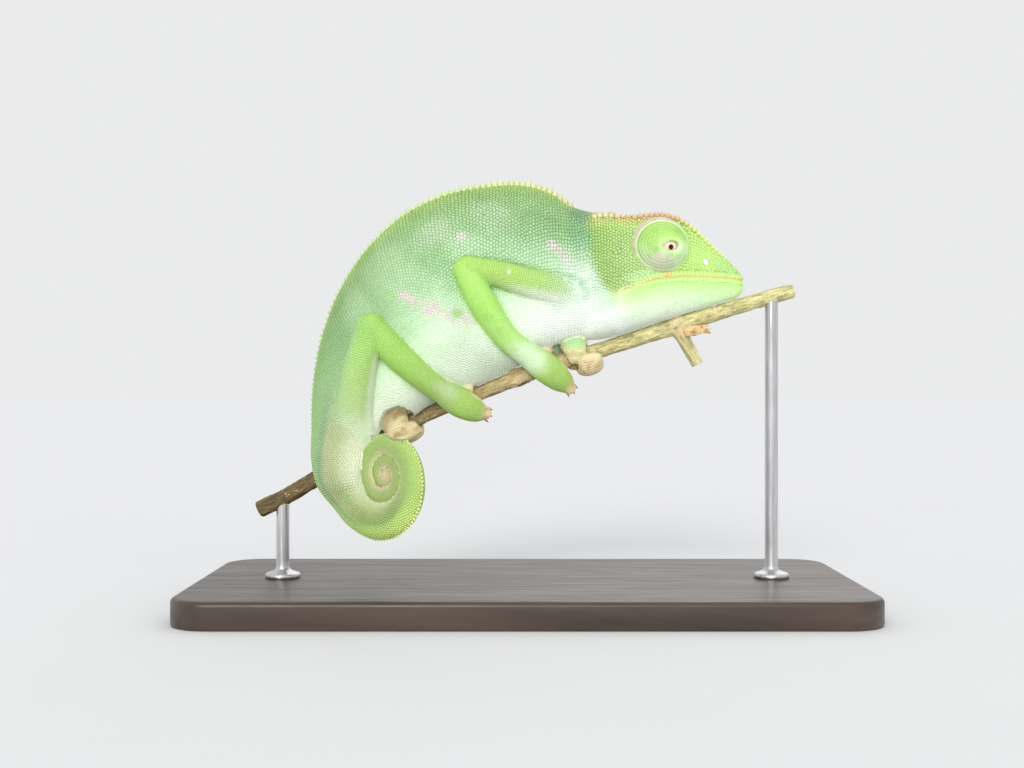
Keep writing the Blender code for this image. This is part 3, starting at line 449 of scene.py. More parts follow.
def hollow_for_foot(rings):
    """Presses the belly in around the left foot's toes."""
    pts = rings.reshape(-1, 3).copy()
    (px, pz), (long_half, short_half), tilt = FOOT_POCKET
    depth = -0.5 - pts[:, 1]
    c, n = math.cos(math.radians(tilt)), math.sin(math.radians(tilt))
    dx, dz = pts[:, 0] - px - 0.08 * depth, pts[:, 2] - pz - 0.03 * depth
    inside = (((dx * c + dz * n) / (long_half + 0.1)) ** 2 + ((dz * c - dx * n) / (short_half + 0.1)) ** 2 < 1) & (pts[:, 1] < -0.5) & (pts[:, 2] > 30)
    pts[inside, 1] = -0.5
    return pts.reshape(rings.shape)


def sunk(rows):
    """An upper arm whose shoulder end lies deeper in the body, so the shoulder swells gently."""
    return [(x, y * f, z, wide, thick) for (x, y, z, wide, thick), f in zip(rows, (0.50, 0.80, 0.97, 1.0, 1.0))]


# the left foot's front toes are plumper than their solid, and reach out of the hollow in the belly
SOFT_WRAPS = {key: [tuple(spec) for spec in specs] for key, specs in WRAPS.items()}
first = list(SOFT_WRAPS["hl"][0])
first[0], first[1], first[4], first[5], first[6] = first[0] + 0.9, first[1] + 1.4, first[4] + 0.45, first[5] + 0.4, first[6] + 0.7
SOFT_WRAPS["hl"][0] = tuple(first)
first = list(SOFT_WRAPS["fl"][0])
first[6], first[7] = first[6] + 0.25, 0.32
SOFT_WRAPS["fl"][0] = tuple(first)
UPPERS = (sunk(ARM_R), sunk(ARM_L), THIGH_R, THIGH_L)


def flesh_pieces():
    made = []
    step = 0.55
    s = np.linspace(0, SPINE_END, int(SPINE_END / step))
    rings = close_coil(s, spine_rings(s, 96, -COAT))
    made.append(loft("f_body", hollow_for_foot(rounded(rings, False, True, 3))))
    heart = np.array(COIL_CENTRE, float)
    plane = np.array([math.cos(math.radians(COIL_TURN)), -math.sin(math.radians(COIL_TURN)), 0.0])
    across = np.array([-plane[1], plane[0], 0.0])
    a = np.arange(24) * 2 * math.pi / 24
    made.append(loft("f_coil_heart", np.array([heart + across * (0.62 * math.cos(f)) + 1.5 * math.sin(f) * (np.cos(a)[:, None] * plane + np.sin(a)[:, None] * np.array([0, 0, 1.0]))
                                              for f in np.linspace(0.12, math.pi - 0.12, 9)])))
    xs = 13.0 + (49.75 - 13.0) * (1 - (1 - np.linspace(0, 1, 90)) ** 1.25)
    made.append(loft("f_head", np.array([head_ring(x, 72, -COAT) for x in xs])))
    for k, sign in enumerate((-1, 1)):
        rings = turned_points(TURRET[1:-1], (TURRET_CENTRE[0], sign * TURRET_CENTRE[1], TURRET_CENTRE[2]),
                              (TURRET_AXIS[0], sign * TURRET_AXIS[1], TURRET_AXIS[2]), 64, -0.12)
        # smooth the turned profile between its keys
        f = np.linspace(0, len(rings) - 1, 48)
        i = np.clip(f.astype(int), 0, len(rings) - 2)
        t = (f - i)[:, None, None]
        p0, p1 = rings[np.clip(i - 1, 0, None)], rings[i]
        p2, p3 = rings[i + 1], rings[np.clip(i + 2, None, len(rings) - 1)]
        rings = 0.5 * (2 * p1 + (p2 - p0) * t + (2 * p0 - 5 * p1 + 4 * p2 - p3) * t**2 + (3 * p1 - p0 - 3 * p2 + p3) * t**3)
        made.append(loft(f"f_turret{k}", almond(rings.reshape(-1, 3), k).reshape(rings.shape)))
    for k, rows in enumerate(UPPERS):
        made.append(loft(f"f_upper{k}", rounded(limb_rings(rows, 40, 40, -COAT), True, True)))
    for k, rows in enumerate((FOREARM_R, FOREARM_L, SHANK_R, SHANK_L)):
        made.append(loft(f"f_lower{k}", rounded(limb_rings(rows, 40, 40, -COAT), True, True)))
    for k, rows in enumerate((MITT_FR, MITT_HR)):
        made.append(loft(f"f_mitt{k}", rounded(limb_rings(rows, 30, 40, -COAT + 0.04), True, True)))
    for key, specs in SOFT_WRAPS.items():
        for k, spec in enumerate(specs):
            rows, thin = wrap_rows(*spec)
            made.append(loft(f"f_wrap{key}{k}", rounded(limb_rings(rows, 30, 36, -COAT + 0.04, thin), True, True)))
    return made


def joined(objs, name):
    bpy.ops.object.select_all(action="DESELECT")
    for o in objs:
        o.select_set(True)
    bpy.context.view_layer.objects.active = objs[0]
    bpy.ops.object.join()
    out = bpy.context.view_layer.objects.active
    out.name = name
    out.data.name = name
    return out


def twig_radius_at(p):
    """Distance of points from the twig's axis, the axis point, and the twig's own radius there."""
    c, along, up, r = twig_frame(p[:, 0])
    d = p - c
    x2 = p[:, 0] + (d * along).sum(1) * along[:, 0]          # one step towards the true foot point
    c, along, up, r = twig_frame(x2)
    d = p - c
    d = d - (d * along).sum(1, keepdims=True) * along
    return np.linalg.norm(d, axis=1), d, r


skin = joined(flesh_pieces(), "chameleon_skin")
m = skin.modifiers.new("remesh", "REMESH")
m.mode, m.voxel_size, m.use_smooth_shade = "VOXEL", 0.30 * MM, True
applied(skin)
co, edges = coords(skin), edges_of(skin)
# blend the legs into the body: more smoothing where lengths of body meet
near_joint = np.zeros(len(co))
for c, r in (((9.0, -8.6, 71.0), 7.5), ((-29.4, -4.5, 41.2), 5.5), ((-38.5, -11.0, 45.0), 5.5), ((9.0, 8.6, 71.0), 7.5), ((-31.5, 8.5, 49.0), 5.0),
             ((-38.0, -10.0, 41.0), 4.5), ((17.0, -7.5, 76.0), 6.0), ((17.0, 7.5, 76.0), 6.0), ((17.0, 0, 63.0), 6.0), ((16.5, 0, 89.0), 5.0),
             ((0.3, -6.3, 57.3), 3.5), ((-18.9, -6.6, 48.9), 3.5), ((-13.4, -13.2, 76.4), 3.5), ((-34.3, -15.2, 63.4), 3.5),
             ((9.8, 6.2, 58.2), 3.5), ((-28.5, 5.0, 42.5), 3.5)):
    near_joint = np.maximum(near_joint, 1 - smooth(np.linalg.norm(co - c, axis=1), 0.45 * r, r))
co = relax(co, edges, 5)
co = relax(co, edges, 14, up=0.5, down=-0.35, where=near_joint)
put(skin, co)
m = skin.modifiers.new("fewer", "DECIMATE")
m.ratio = min(1.0, 190000 / (2 * len(skin.data.polygons)))
applied(skin)
skin.data.validate(clean_customdata=False)
co, edges = coords(skin), edges_of(skin)

# folds and hollows
def dent(co, nrm, centre, radius, depth, stretch=(1, 1, 1)):
    d = (co - centre) / np.array(stretch)
    w = np.exp(-(d**2).sum(1) / radius**2)
    return co - nrm * (depth * w)[:, None]


def normals_of(obj):
    obj.data.update()
    n = np.empty(len(obj.data.vertices) * 3, np.float32)
    obj.data.vertex_normals.foreach_get("vector", n)
    return n.reshape(-1, 3).astype(float)


nrm = normals_of(skin)
for sign in (-1, 1):
    co = dent(co, nrm, (42.3, sign * 4.2, 77.7), 0.36, 0.28)                    # nostril
    co = dent(co, nrm, (20.5, sign * 8.0, 80.5), 3.4, 0.5, (1, 1, 1.4))         # temple
    co = dent(co, nrm, (18.5, sign * 8.5, 68.0), 1.6, 0.35, (1, 2, 3))          # corner of the jaw
    co = dent(co, nrm, (11.5, sign * 8.3, 80.0), 1.3, 0.25, (1.0, 2, 6))        # fold of the neck


def mouth_z(x):
    return np.interp(x, HEAD_KEYS[:, 0], HEAD_KEYS[:, 8])


on_lips = np.exp(-((co[:, 2] - mouth_z(co[:, 0])) / 0.28) ** 2) * smooth(co[:, 0], 19.0, 22.0)
on_lips *= smooth(np.abs(co[:, 1]), 0.2, 0.6) + (co[:, 0] > 49.0)
co = co - nrm * (0.24 * np.clip(on_lips, 0, 1))[:, None]
d, away, r = twig_radius_at(co)
clear = r + 0.12
inside = (d < clear) & (np.abs(co[:, 0]) < 60)
co[inside] += unit(away[inside]) * (clear - d)[inside, None]
put(skin, co)
nrm = normals_of(skin)
tris = [tuple(p.vertices) for p in skin.data.polygons]
tree = BVHTree.FromPolygons((co).tolist(), tris)
print("skin", len(co), "points", len(tris), "faces")

# ================================================================ where each place on the skin lies
# part codes: 0 trunk and tail, 1 head, 2 eye turret, 3 upper limb, 4 lower limb, 5 outer mitt, 6 wrapped toes
samples, codes, params, facings = [], [], [], []


def note(points, code, which, u, v):
    n = len(points)
    samples.append(points)
    codes.append(np.stack([np.full(n, code), np.full(n, which)], 1))
    params.append(np.stack([np.broadcast_to(u, n), np.broadcast_to(v, n)], 1))


def grid_note(rings, code, which, us):
    n, m = rings.shape[:2]
    faces_out = np.cross(np.gradient(rings, axis=0), np.roll(rings, -1, 1) - np.roll(rings, 1, 1))
    size = np.linalg.norm(faces_out, axis=2, keepdims=True)
    away = rings - rings.mean(1, keepdims=True)
    faces_out = np.where(size > 1e-9, faces_out / np.maximum(size, 1e-9), unit(away + 1e-9))
    flip = np.sign((faces_out * away).sum((1, 2)))
    facings.append((faces_out * np.where(flip == 0, 1, flip)[:, None, None]).reshape(-1, 3))
    a = np.arange(m) / m
    note(rings.reshape(-1, 3), code, which, np.repeat(us, m), np.tile(a, n))


s = np.linspace(0, SPINE_END, 420)
grid_note(close_coil(s, spine_rings(s, 72, -COAT)), 0, 0, s)
xs = np.linspace(14.0, 49.9, 80)
grid_note(np.array([head_ring(x, 72, -COAT) for x in xs]), 1, 0, xs)
for k, (centre, axis, ahead, up) in enumerate(TURRET_FRAMES):
    prof = np.array(TURRET[3:-2])
    f = np.linspace(0, len(prof) - 1, 30)
    pr = np.stack([np.interp(f, np.arange(len(prof)), prof[:, 0]), np.interp(f, np.arange(len(prof)), prof[:, 1])], 1)
    rings = turned_points(pr, centre, axis, 48, -0.12)
    grid_note(almond(rings.reshape(-1, 3), k).reshape(rings.shape), 2, k, f)
for k, rows in enumerate(UPPERS):
    grid_note(limb_rings(rows, 40, 36, -COAT), 3, k, np.linspace(0, 1, 40))
for k, rows in enumerate((FOREARM_R, FOREARM_L, SHANK_R, SHANK_L)):
    grid_note(limb_rings(rows, 40, 36, -COAT), 4, k, np.linspace(0, 1, 40))
for k, rows in enumerate((MITT_FR, MITT_HR)):
    grid_note(rounded(limb_rings(rows, 30, 36, -COAT), False, True), 5, k, np.linspace(0, 1, 35))
k = 0
for key, specs in SOFT_WRAPS.items():
    for spec in specs:
        rows, thin = wrap_rows(*spec)
        grid_note(rounded(limb_rings(rows, 30, 36, -COAT, thin), True, True), 6, k, np.linspace(0, 1, 40))
        k += 1
samples, codes, params, facings = np.concatenate(samples), np.concatenate(codes), np.concatenate(params), np.concatenate(facings)
# samples buried in other flesh don't speak for the skin
kept = []
for i, p in enumerate(samples):
    hit = tree.find_nearest(p, 0.9)
    kept.append(hit[0] is not None)
kept = np.array(kept)
samples, codes, params, facings = samples[kept], codes[kept], params[kept], facings[kept]
sample_tree = KDTree(len(samples))
for i, p in enumerate(samples):
    sample_tree.insert(p, i)
sample_tree.balance()


def place(points, normals=None):
    """Part code, which one, and the two parameters of each point, from the nearest sample that faces its way."""
    if normals is None:
        idx = np.fromiter((sample_tree.find(p)[1] for p in points), int, len(points))
    else:
        idx = np.empty(len(points), int)
        for i, p in enumerate(points):
            found = sample_tree.find_n(p, 9)
            ids = np.array([f[1] for f in found])
            if (codes[ids, 0] == codes[ids[0], 0]).all():
                idx[i] = ids[0]
                continue
            score = np.array([f[2] for f in found]) - 1.1 * (facings[ids] @ normals[i])
            idx[i] = ids[np.argmin(score)]
    return codes[idx, 0], codes[idx, 1], params[idx, 0], params[idx, 1]


SPINE_KEYS = SPINE_TRACK.s
S_TAIL = SPINE_KEYS[11]              # where the tail begins, along the spine
S_COIL = SPINE_KEYS[len(SPINE)]


TURRET_PITCH, UPPER_PITCH, LOWER_PITCH, MITT_PITCH, WRAP_PITCH = 0.36, 0.56, 0.50, 0.46, 0.48


def body_pitch(u, t):
    """Size of the scales on neck, trunk and tail; t is 1 at the crest and -1 at the belly."""
    front = 1 - smooth(u, SPINE_TRACK.s[5], SPINE_TRACK.s[9])
    upper = smooth(t, -0.45, 0.35)
    p = 0.66 + 0.20 * front * upper + 0.02 * front
    tail = smooth(u, SPINE_TRACK.s[11] - 14, SPINE_TRACK.s[11] + 4)
    return p * (1 - tail) + (0.58 - 0.10 * smooth(u, SPINE_TRACK.s[len(SPINE)], SPINE_TRACK.s[len(SPINE)] + 40)) * tail


def pitch_of(code, u, v, points):
    """Size of the scales, mm from middle to middle."""
    trunk_like = body_pitch(u, np.cos(2 * math.pi * v))
    p = np.where(code == 0, trunk_like, 0.8)
    head = code == 1
    above = points[:, 2] - np.interp(points[:, 0], HEAD_KEYS[:, 0], HEAD_KEYS[:, 8])
    p[head] = (0.58 + 0.16 * smooth(above, -1.5, 0.8) - 0.12 * smooth(points[:, 0], 34, 46) * smooth(above, -1.5, 0.8))[head]
    for k, size in enumerate((TURRET_PITCH, UPPER_PITCH, LOWER_PITCH, MITT_PITCH, WRAP_PITCH)):
        p[code == 2 + k] = size
    shoulder = (code == 3) & (points[:, 0] > -10)
    p[shoulder] = (0.80 - (0.80 - UPPER_PITCH) * smooth(u, 0.10, 0.60))[shoulder]
    return p * 1.0


# ================================================================ roots of the scales
roots, root_normal = [], []
q = 1.0


def drop_on_skin(points, reach):
    for p in points:
        loc, n, _, _ = tree.find_nearest(p, reach)
        if loc is not None:
            roots.append(tuple(loc))
            root_normal.append(tuple(n))


def spine_lattice():
    s, row = 3.0, 0
    out = []
    while s < SPINE_END - 0.3:
        ring = close_coil(np.array([s]), spine_rings(np.array([s]), 128, -COAT))[0]
        closed = np.concatenate([ring, ring[:1]])
        d = np.concatenate([[0], np.cumsum(np.linalg.norm(np.diff(closed, axis=0), axis=1))])
        t_here = np.cos(np.linspace(0, 2 * math.pi, len(closed)))
        tail = float(smooth(s, S_TAIL - 6, S_TAIL + 6))
        sizes = body_pitch(np.full(len(closed), s), t_here) * (1 + 0.22 * tail) * q
        load = np.concatenate([[0], np.cumsum(np.diff(d) / (0.5 * (sizes[1:] + sizes[:-1])))])
        n = max(6, int(round(load[-1])))
        t = np.interp((np.arange(n) + 0.5 * (row % 2)) / n * load[-1], load, d)
        out.append(np.stack([np.interp(t, d, closed[:, k]) for k in range(3)], 1))
        p = float(sizes[32]) / (1 + 0.22 * tail)
        s += p * (0.87 - 0.02 * tail)
        row += 1
    return np.concatenate(out)


def limb_lattice(rows, p, thin=(0.0, -1.0, 0.0), ends=(False, False)):
    length = Track(rows).length
    n = max(3, int(length / (p * 0.87)))
    rings = limb_rings(rows, n, 72, -COAT, thin)
    if any(ends):
        rings = rounded(rings, ends[0], ends[1], 4)
    out = []
    for row, ring in enumerate(rings):
        closed = np.concatenate([ring, ring[:1]])
        d = np.concatenate([[0], np.cumsum(np.linalg.norm(np.diff(closed, axis=0), axis=1))])
        k = max(3, int(round(d[-1] / p)))
        t = (np.arange(k) + 0.5 * (row % 2)) / k * d[-1]
        out.append(np.stack([np.interp(t, d, closed[:, c]) for c in range(3)], 1))
    return np.concatenate(out)


for k, (centre, axis, ahead, up) in enumerate(TURRET_FRAMES):
    prof = np.array(TURRET[2:-2], float)
    d = np.concatenate([[0], np.cumsum(np.linalg.norm(np.diff(prof, axis=0), axis=1))])
    t = d[-1] - 0.22
    row = 0
    pts = []
    while t > 0:
        r, h = np.interp(t, d, prof[:, 0]), np.interp(t, d, prof[:, 1])
        n = max(8, int(round(2 * math.pi * r / (TURRET_PITCH * q))))
        a = (np.arange(n) + 0.5 * (row % 2)) / n * 2 * math.pi
        pts.append(centre + axis * h + (r - 0.1) * (np.cos(a)[:, None] * ahead + np.sin(a)[:, None] * up))
        t -= TURRET_PITCH * 0.9 * q
        row += 1
    drop_on_skin(almond(np.concatenate(pts), k), 0.6)
for upper_part, size in ((True, 0.74), (False, 0.58)):
    x, row, pts = 14.5, 0, []
    while x < 49.8:
        ring = head_ring(x, 144, -COAT)
        closed = np.concatenate([ring, ring[:1]])
        d = np.concatenate([[0], np.cumsum(np.linalg.norm(np.diff(closed, axis=0), axis=1))])
        p = (size - (0.12 * float(smooth(x, 34, 46)) if upper_part else 0.0)) * q
        n = max(6, int(round(d[-1] / p)))
        t = (np.arange(n) + 0.5 * (row % 2)) / n * d[-1]
        placed = np.stack([np.interp(t, d, closed[:, k]) for k in range(3)], 1)
        lip_here = float(np.interp(x, HEAD_KEYS[:, 0], HEAD_KEYS[:, 8]))
        pts.append(placed[(placed[:, 2] > lip_here - 0.2) == upper_part])
        x += p * 0.87 * (1 - 0.45 * float(smooth(x, 40, 50)))
        row += 1
    drop_on_skin(np.concatenate(pts), 0.45)
for rows in UPPERS:
    drop_on_skin(limb_lattice(rows, UPPER_PITCH * q, ends=(False, True)), 0.5)
for rows in (FOREARM_R, FOREARM_L, SHANK_R, SHANK_L):
    drop_on_skin(limb_lattice(rows, LOWER_PITCH * q, ends=(True, False)), 0.5)
for rows in (MITT_FR, MITT_HR):
    drop_on_skin(limb_lattice(rows, MITT_PITCH * q, ends=(False, True)), 0.5)
for specs in SOFT_WRAPS.values():
    for spec in specs:
        rows, thin = wrap_rows(*spec)
        drop_on_skin(limb_lattice(rows, WRAP_PITCH * q, thin, (True, True)), 0.5)
drop_on_skin(spine_lattice(), 0.6)
print("lattice", len(roots))


def thin_out(points, pitch, share, order=None):
    """Keeps points in order, dropping any that comes within a share of its pitch of one kept already."""
    kd = KDTree(len(points))
    for i, p in enumerate(points):
        kd.insert(p, i)
    kd.balance()
    alive = np.ones(len(points), bool)
    done = np.zeros(len(points), bool)
    for i in (range(len(points)) if order is None else order):
        if not alive[i]:
            continue
        done[i] = True
        for _, j, _ in kd.find_range(points[i], pitch[i] * share):
            if j != i and not done[j]:
                alive[j] = False
    return alive


roots, root_normal = np.array(roots), np.array(root_normal)
code, which, pu, pv = place(roots, root_normal)
pitch = pitch_of(code, pu, pv, roots)
alive = thin_out(roots, pitch, 0.72)
roots, root_normal, pitch = roots[alive], root_normal[alive], pitch[alive]

# fill what the rings left bare
for turn in range(2):
    area = np.empty(len(skin.data.polygons), np.float32)
    skin.data.polygons.foreach_get("area", area)
    pick = rng.choice(len(area), size=90000, p=area.astype(float) / area.astype(float).sum())
    mid = np.empty(len(area) * 3, np.float32)
    skin.data.polygons.foreach_get("center", mid)
    cand = mid.reshape(-1, 3)[pick].astype(float) / MM
    c2, w2, u2, v2 = place(cand)
    pc = pitch_of(c2, u2, v2, cand)
    kd = KDTree(len(roots))
    for i, p in enumerate(roots):
        kd.insert(p, i)
    kd.balance()
    far = np.array([kd.find(p)[2] for p in cand]) > pc * 0.74
    cand, pc = cand[far], pc[far]
    if len(cand):
        ok = thin_out(cand, pc, 0.8)
        cand, pc = cand[ok], pc[ok]
        hits = [tree.find_nearest(p) for p in cand]
        roots = np.concatenate([roots, np.array([tuple(h[0]) for h in hits])])
        root_normal = np.concatenate([root_normal, np.array([tuple(h[1]) for h in hits])])
        pitch = np.concatenate([pitch, pc])
print("roots", len(roots))

# even them out, a little, along the skin; the rings of the tail stay in line
NEAR = 8
_, _, tail_u, _ = place(roots)
in_line = (1 - 0.8 * smooth(tail_u, S_TAIL - 6, S_TAIL + 6) * (roots[:, 2] < 50))[:, None]
for turn in range(3):
    kd = KDTree(len(roots))
    for i, p in enumerate(roots):
        kd.insert(p, i)
    kd.balance()
    idx = np.zeros((len(roots), NEAR), int)
    for i, p in enumerate(roots):
        found = kd.find_n(p, NEAR + 1)
        ids = [f[1] for f in found if f[1] != i][:NEAR]
        idx[i, :len(ids)] = ids
    away = roots[:, None] - roots[idx]
    dist = np.linalg.norm(away, axis=2)
    want = 0.5 * (pitch[:, None] + pitch[idx]) * 1.02
    push = np.clip(want - dist, 0, None) / np.maximum(dist, 1e-6)
    same_side = (root_normal[:, None] * root_normal[idx]).sum(2) > 0.1
    move = (away * (push * same_side)[..., None]).sum(1) * 0.28
    move -= (move * root_normal).sum(1, keepdims=True) * root_normal
    length = np.linalg.norm(move, axis=1, keepdims=True)
    move *= np.minimum(1, 0.25 * pitch[:, None] / np.maximum(length, 1e-9)) * in_line
    for i, p in enumerate(roots + move):
        loc, n, _, _ = tree.find_nearest(p)
        roots[i] = loc
        root_normal[i] = n
loose = (0.11 * pitch * (tail_u < S_TAIL - 6) * (1 - 0.0 * pitch))[:, None]
swing = rng.normal(size=roots.shape) * loose
swing -= (swing * root_normal).sum(1, keepdims=True) * root_normal
for i, p in enumerate(roots + swing):
    if loose[i, 0] > 0 and pitch[i] > 0.58 * q:
        loc, n, _, _ = tree.find_nearest(p)
        roots[i] = loc
        root_normal[i] = n
# smooth normals come from the skin's points, not its facets
skin_kd = KDTree(len(co))
for i, p in enumerate(co):
    skin_kd.insert(p, i)
skin_kd.balance()
near3 = np.array([[f[1] for f in skin_kd.find_n(p, 4)] for p in roots])
root_normal = unit(nrm[near3].sum(1))
code, which, pu, pv = place(roots, root_normal)
pitch = pitch_of(code, pu, pv, roots)

# ================================================================ colours: named areas and soft patches, sRGB 0-255
NOISE = np.random.default_rng(11).random((32, 32, 32))


def noise3(p, size, shift=0.0):
    """Smooth 3-D noise from 0 to 1 with cells of this size, mm."""
    q3 = np.asarray(p, float) / size + shift
    i = np.floor(q3).astype(int)
    f = q3 - i
    f = f * f * (3 - 2 * f)
    out = np.zeros(len(q3))
    for dx in (0, 1):
        for dy in (0, 1):
            for dz in (0, 1):
                w = (f[:, 0] if dx else 1 - f[:, 0]) * (f[:, 1] if dy else 1 - f[:, 1]) * (f[:, 2] if dz else 1 - f[:, 2])
                out += w * NOISE[(i[:, 0] + dx) % 32, (i[:, 1] + dy) % 32, (i[:, 2] + dz) % 32]
    return out


def linear(c):
    c = np.clip(np.asarray(c, float) / 255, 0, 1)
    return np.where(c > 0.04045, ((c + 0.055) / 1.055) ** 2.4, c / 12.92)


def mix(a, b, w):
    return a + (np.asarray(b, float) - a) * np.asarray(w, float)[:, None]


def ramp(t, *keys):
    keys = sorted(keys)
    return np.stack([np.interp(t, [k[0] for k in keys], [k[1][c] for k in keys]) for c in range(3)], 1)


def spot(p, x, z, rx, rz=None, tilt=0.0):
    """1 in the middle of an oval patch seen from the side, 0 outside it."""
    c, n = math.cos(math.radians(tilt)), math.sin(math.radians(tilt))
    dx, dz = p[:, 0] - x, p[:, 2] - z
    a, b = (dx * c + dz * n) / rx, (dz * c - dx * n) / (rz or rx)
    return 1 - smooth(np.sqrt(a * a + b * b), 0.45, 1.25)


S_KEY = SPINE_KEYS


def flank_colours(p):
    """Green of the shoulder and hip, by height."""
    return ramp(p[:, 2], (58, (238, 251, 228)), (64, (224, 245, 212)), (70, (204, 233, 190)), (77, (178, 216, 160)),
                (85, (160, 200, 138)), (92, (160, 200, 128)))


limb_marks = np.concatenate([limb_rings(rows, 60, 40, -COAT).reshape(-1, 3) for rows in (ARM_R, ARM_L, THIGH_R, THIGH_L, FOREARM_R, FOREARM_L, SHANK_R, SHANK_L)])
limb_tree = KDTree(len(limb_marks))
for i, mark in enumerate(limb_marks):
    limb_tree.insert(mark, i)
limb_tree.balance()


def limb_distance(p, where):
    """How far each point of the trunk is from a leg that lies over it, mm; only looked up near them."""
    out = np.full(len(p), 9.0)
    for i in np.nonzero(where & (np.abs(p[:, 1]) > 5) & (p[:, 2] > 55) & (p[:, 2] < 84))[0]:
        mark, _, dist = limb_tree.find(p[i])
        if p[i, 2] > mark[2] - 0.35:
            out[i] = dist
    return out


def paint(p, code, which, u, v, n):
    t = np.cos(2 * math.pi * v)
    col = np.zeros((len(p), 3))
    # --- trunk, from the crest down to the belly
    trunk = ramp(t, (1.0, (166, 194, 106)), (0.95, (156, 188, 108)), (0.86, (146, 184, 120)), (0.62, (158, 196, 138)),
                 (0.3, (172, 211, 162)), (0.0, (190, 224, 182)), (-0.3, (214, 239, 205)), (-0.65, (232, 248, 222)), (-1, (240, 252, 232)))
    rear = ramp(t, (1.0, (156, 192, 112)), (0.85, (138, 174, 114)), (0.45, (142, 180, 124)), (0.1, (162, 200, 144)),
                (-0.3, (206, 234, 196)), (-0.7, (234, 248, 222)), (-1, (242, 252, 232)))
    base = ramp(t, (1.0, (160, 204, 116)), (0.8, (156, 200, 130)), (0.5, (158, 196, 136)), (0.30, (154, 184, 130)), (0.16, (164, 188, 134)),
                (0.0, (166, 186, 132)), (-0.3, (182, 196, 146)), (-0.65, (214, 224, 184)), (-1, (240, 244, 218)))
    loop = ramp(t, (1.0, (222, 250, 152)), (0.8, (212, 240, 134)), (0.35, (190, 224, 126)), (0.0, (150, 176, 104)),
                (-0.4, (158, 178, 112)), (-0.75, (188, 202, 146)), (-1, (218, 226, 184)))
    disc = ramp(t, (1.0, (190, 214, 124)), (0.8, (176, 204, 112)), (0.4, (164, 196, 108)), (0.0, (168, 194, 116)),
                (-0.45, (172, 198, 120)), (-0.8, (208, 212, 158)), (-1, (230, 226, 188)))
    inner = ramp(t, (1.0, (150, 172, 98)), (0.75, (164, 190, 108)), (0.1, (164, 190, 112)), (-0.4, (172, 190, 122)), (-0.8, (208, 200, 152)), (-1, (226, 208, 170)))
    centre = ramp(t, (1.0, (158, 168, 104)), (0.4, (196, 192, 138)), (-0.3, (212, 194, 150)), (-1, (234, 212, 176)))
    ang = coil_angle(u)
    body = mix(trunk, rear, smooth(u, S_KEY[6], S_KEY[9]))
    body = mix(body, base, smooth(u, S_KEY[10] - 3, S_KEY[12]))
    body = mix(body, loop, smooth(u, S_KEY[13], S_KEY[len(SPINE)] + 7))
    body = mix(body, disc, smooth(ang, 300, 350))
    body = mix(body, inner, smooth(ang, 520, 600))
    body = mix(body, centre, smooth(ang, 900, 1080))
    on_trunk = 1 - smooth(u, S_KEY[9], S_KEY[11])
    broken = 0.45 + 1.1 * smooth(noise3(p, 1.0, 3.3), 0.25, 0.75)
    cloudy = noise3(p, 5.5, 1.7)
    body = mix(body, (198, 214, 190), on_trunk * 0.42 * np.maximum(spot(p, -7.9, 88.5, 6.0, 3.4, -20), spot(p, -21.2, 84.0, 6.5, 3.6, 38)))
    body = mix(body, (188, 216, 176), on_trunk * 0.4 * np.maximum(spot(p, -30, 76, 7, 8, 30), spot(p, -37, 66, 4, 7, 20)))
    body = mix(body, (128, 172, 112), on_trunk * 0.36 * spot(p, 2.0, 85.5, 9, 4.2, -8))
    body = mix(body, (150, 190, 128), on_trunk * 0.15 * spot(p, -20.0, 77.0, 8, 5, 20))
    # painted shadow on the nape, behind the end of the casque
    body = mix(body, (122, 162, 122), 0.80 * spot(p, 14.0, 89.4, 5.0, 2.8, -12))
    body = mix(body, (138, 182, 146), 0.6 * spot(p, 12.8, 84.0, 3.4, 5.4, 12))
    pink = np.maximum.reduce([0.85 * spot(p, -15.0, 83.2, 2.2, 1.2, 25), 0.95 * spot(p, 5.9, 81.6, 1.9, 1.5), 0.95 * spot(p, 8.6, 79.2, 2.9, 1.5, -46),
                              0.9 * spot(p, -26.6, 69.6, 2.7, 1.5, -25), 0.95 * spot(p, -21.5, 67.4, 4.4, 1.9, -22), 0.95 * spot(p, -14.8, 65.6, 4.6, 2.2, -8)])
    body = mix(body, (218, 204, 200), np.clip(pink * broken * 0.88, 0, 1))
    body = mix(body, (206, 236, 200), on_trunk * 0.38 * spot(p, -12.6, 80.7, 6, 3.6, -10))
    body = mix(body, (158, 212, 122), np.maximum(0.9 * spot(p, -15.3, 66.1, 1.15), 0.6 * spot(p, -30.2, 70.4, 1.0)))
    # neck: pale, softly speckled with white
    neck = on_trunk * smooth(p[:, 0], 4.5, 12.5) * (1 - smooth(p[:, 2], 75, 84))
    body = mix(body, (214, 238, 214), 0.80 * neck)
    body = mix(body, (240, 250, 240), np.clip(neck * (0.9 * noise3(p, 1.0, 7.1) - 0.20), 0, 1))
    body = mix(body, (248, 255, 248), on_trunk * (1 - smooth(p[:, 2], 62, 73)) * smooth(p[:, 0], -8, 6))
    body = mix(body, body * np.array((0.93, 0.96, 0.92)), on_trunk * smooth(cloudy, 0.45, 0.8))
    # painted shade: a dark band down the side of the tail's base, where a long fold lies
    fold_shade = np.exp(-((t - 0.27) / 0.11) ** 2) * smooth(u, S_KEY[10], S_KEY[12]) * (1 - smooth(ang, 225, 262))
    body = mix(body, (138, 170, 132), 0.75 * fold_shade)
    rosy = np.exp(-((t - 0.02) / 0.22) ** 2) * smooth(u, S_KEY[11] - 2, S_KEY[13]) * (1 - smooth(ang, 215, 250))
    body = mix(body, (222, 206, 178), 0.30 * rosy)
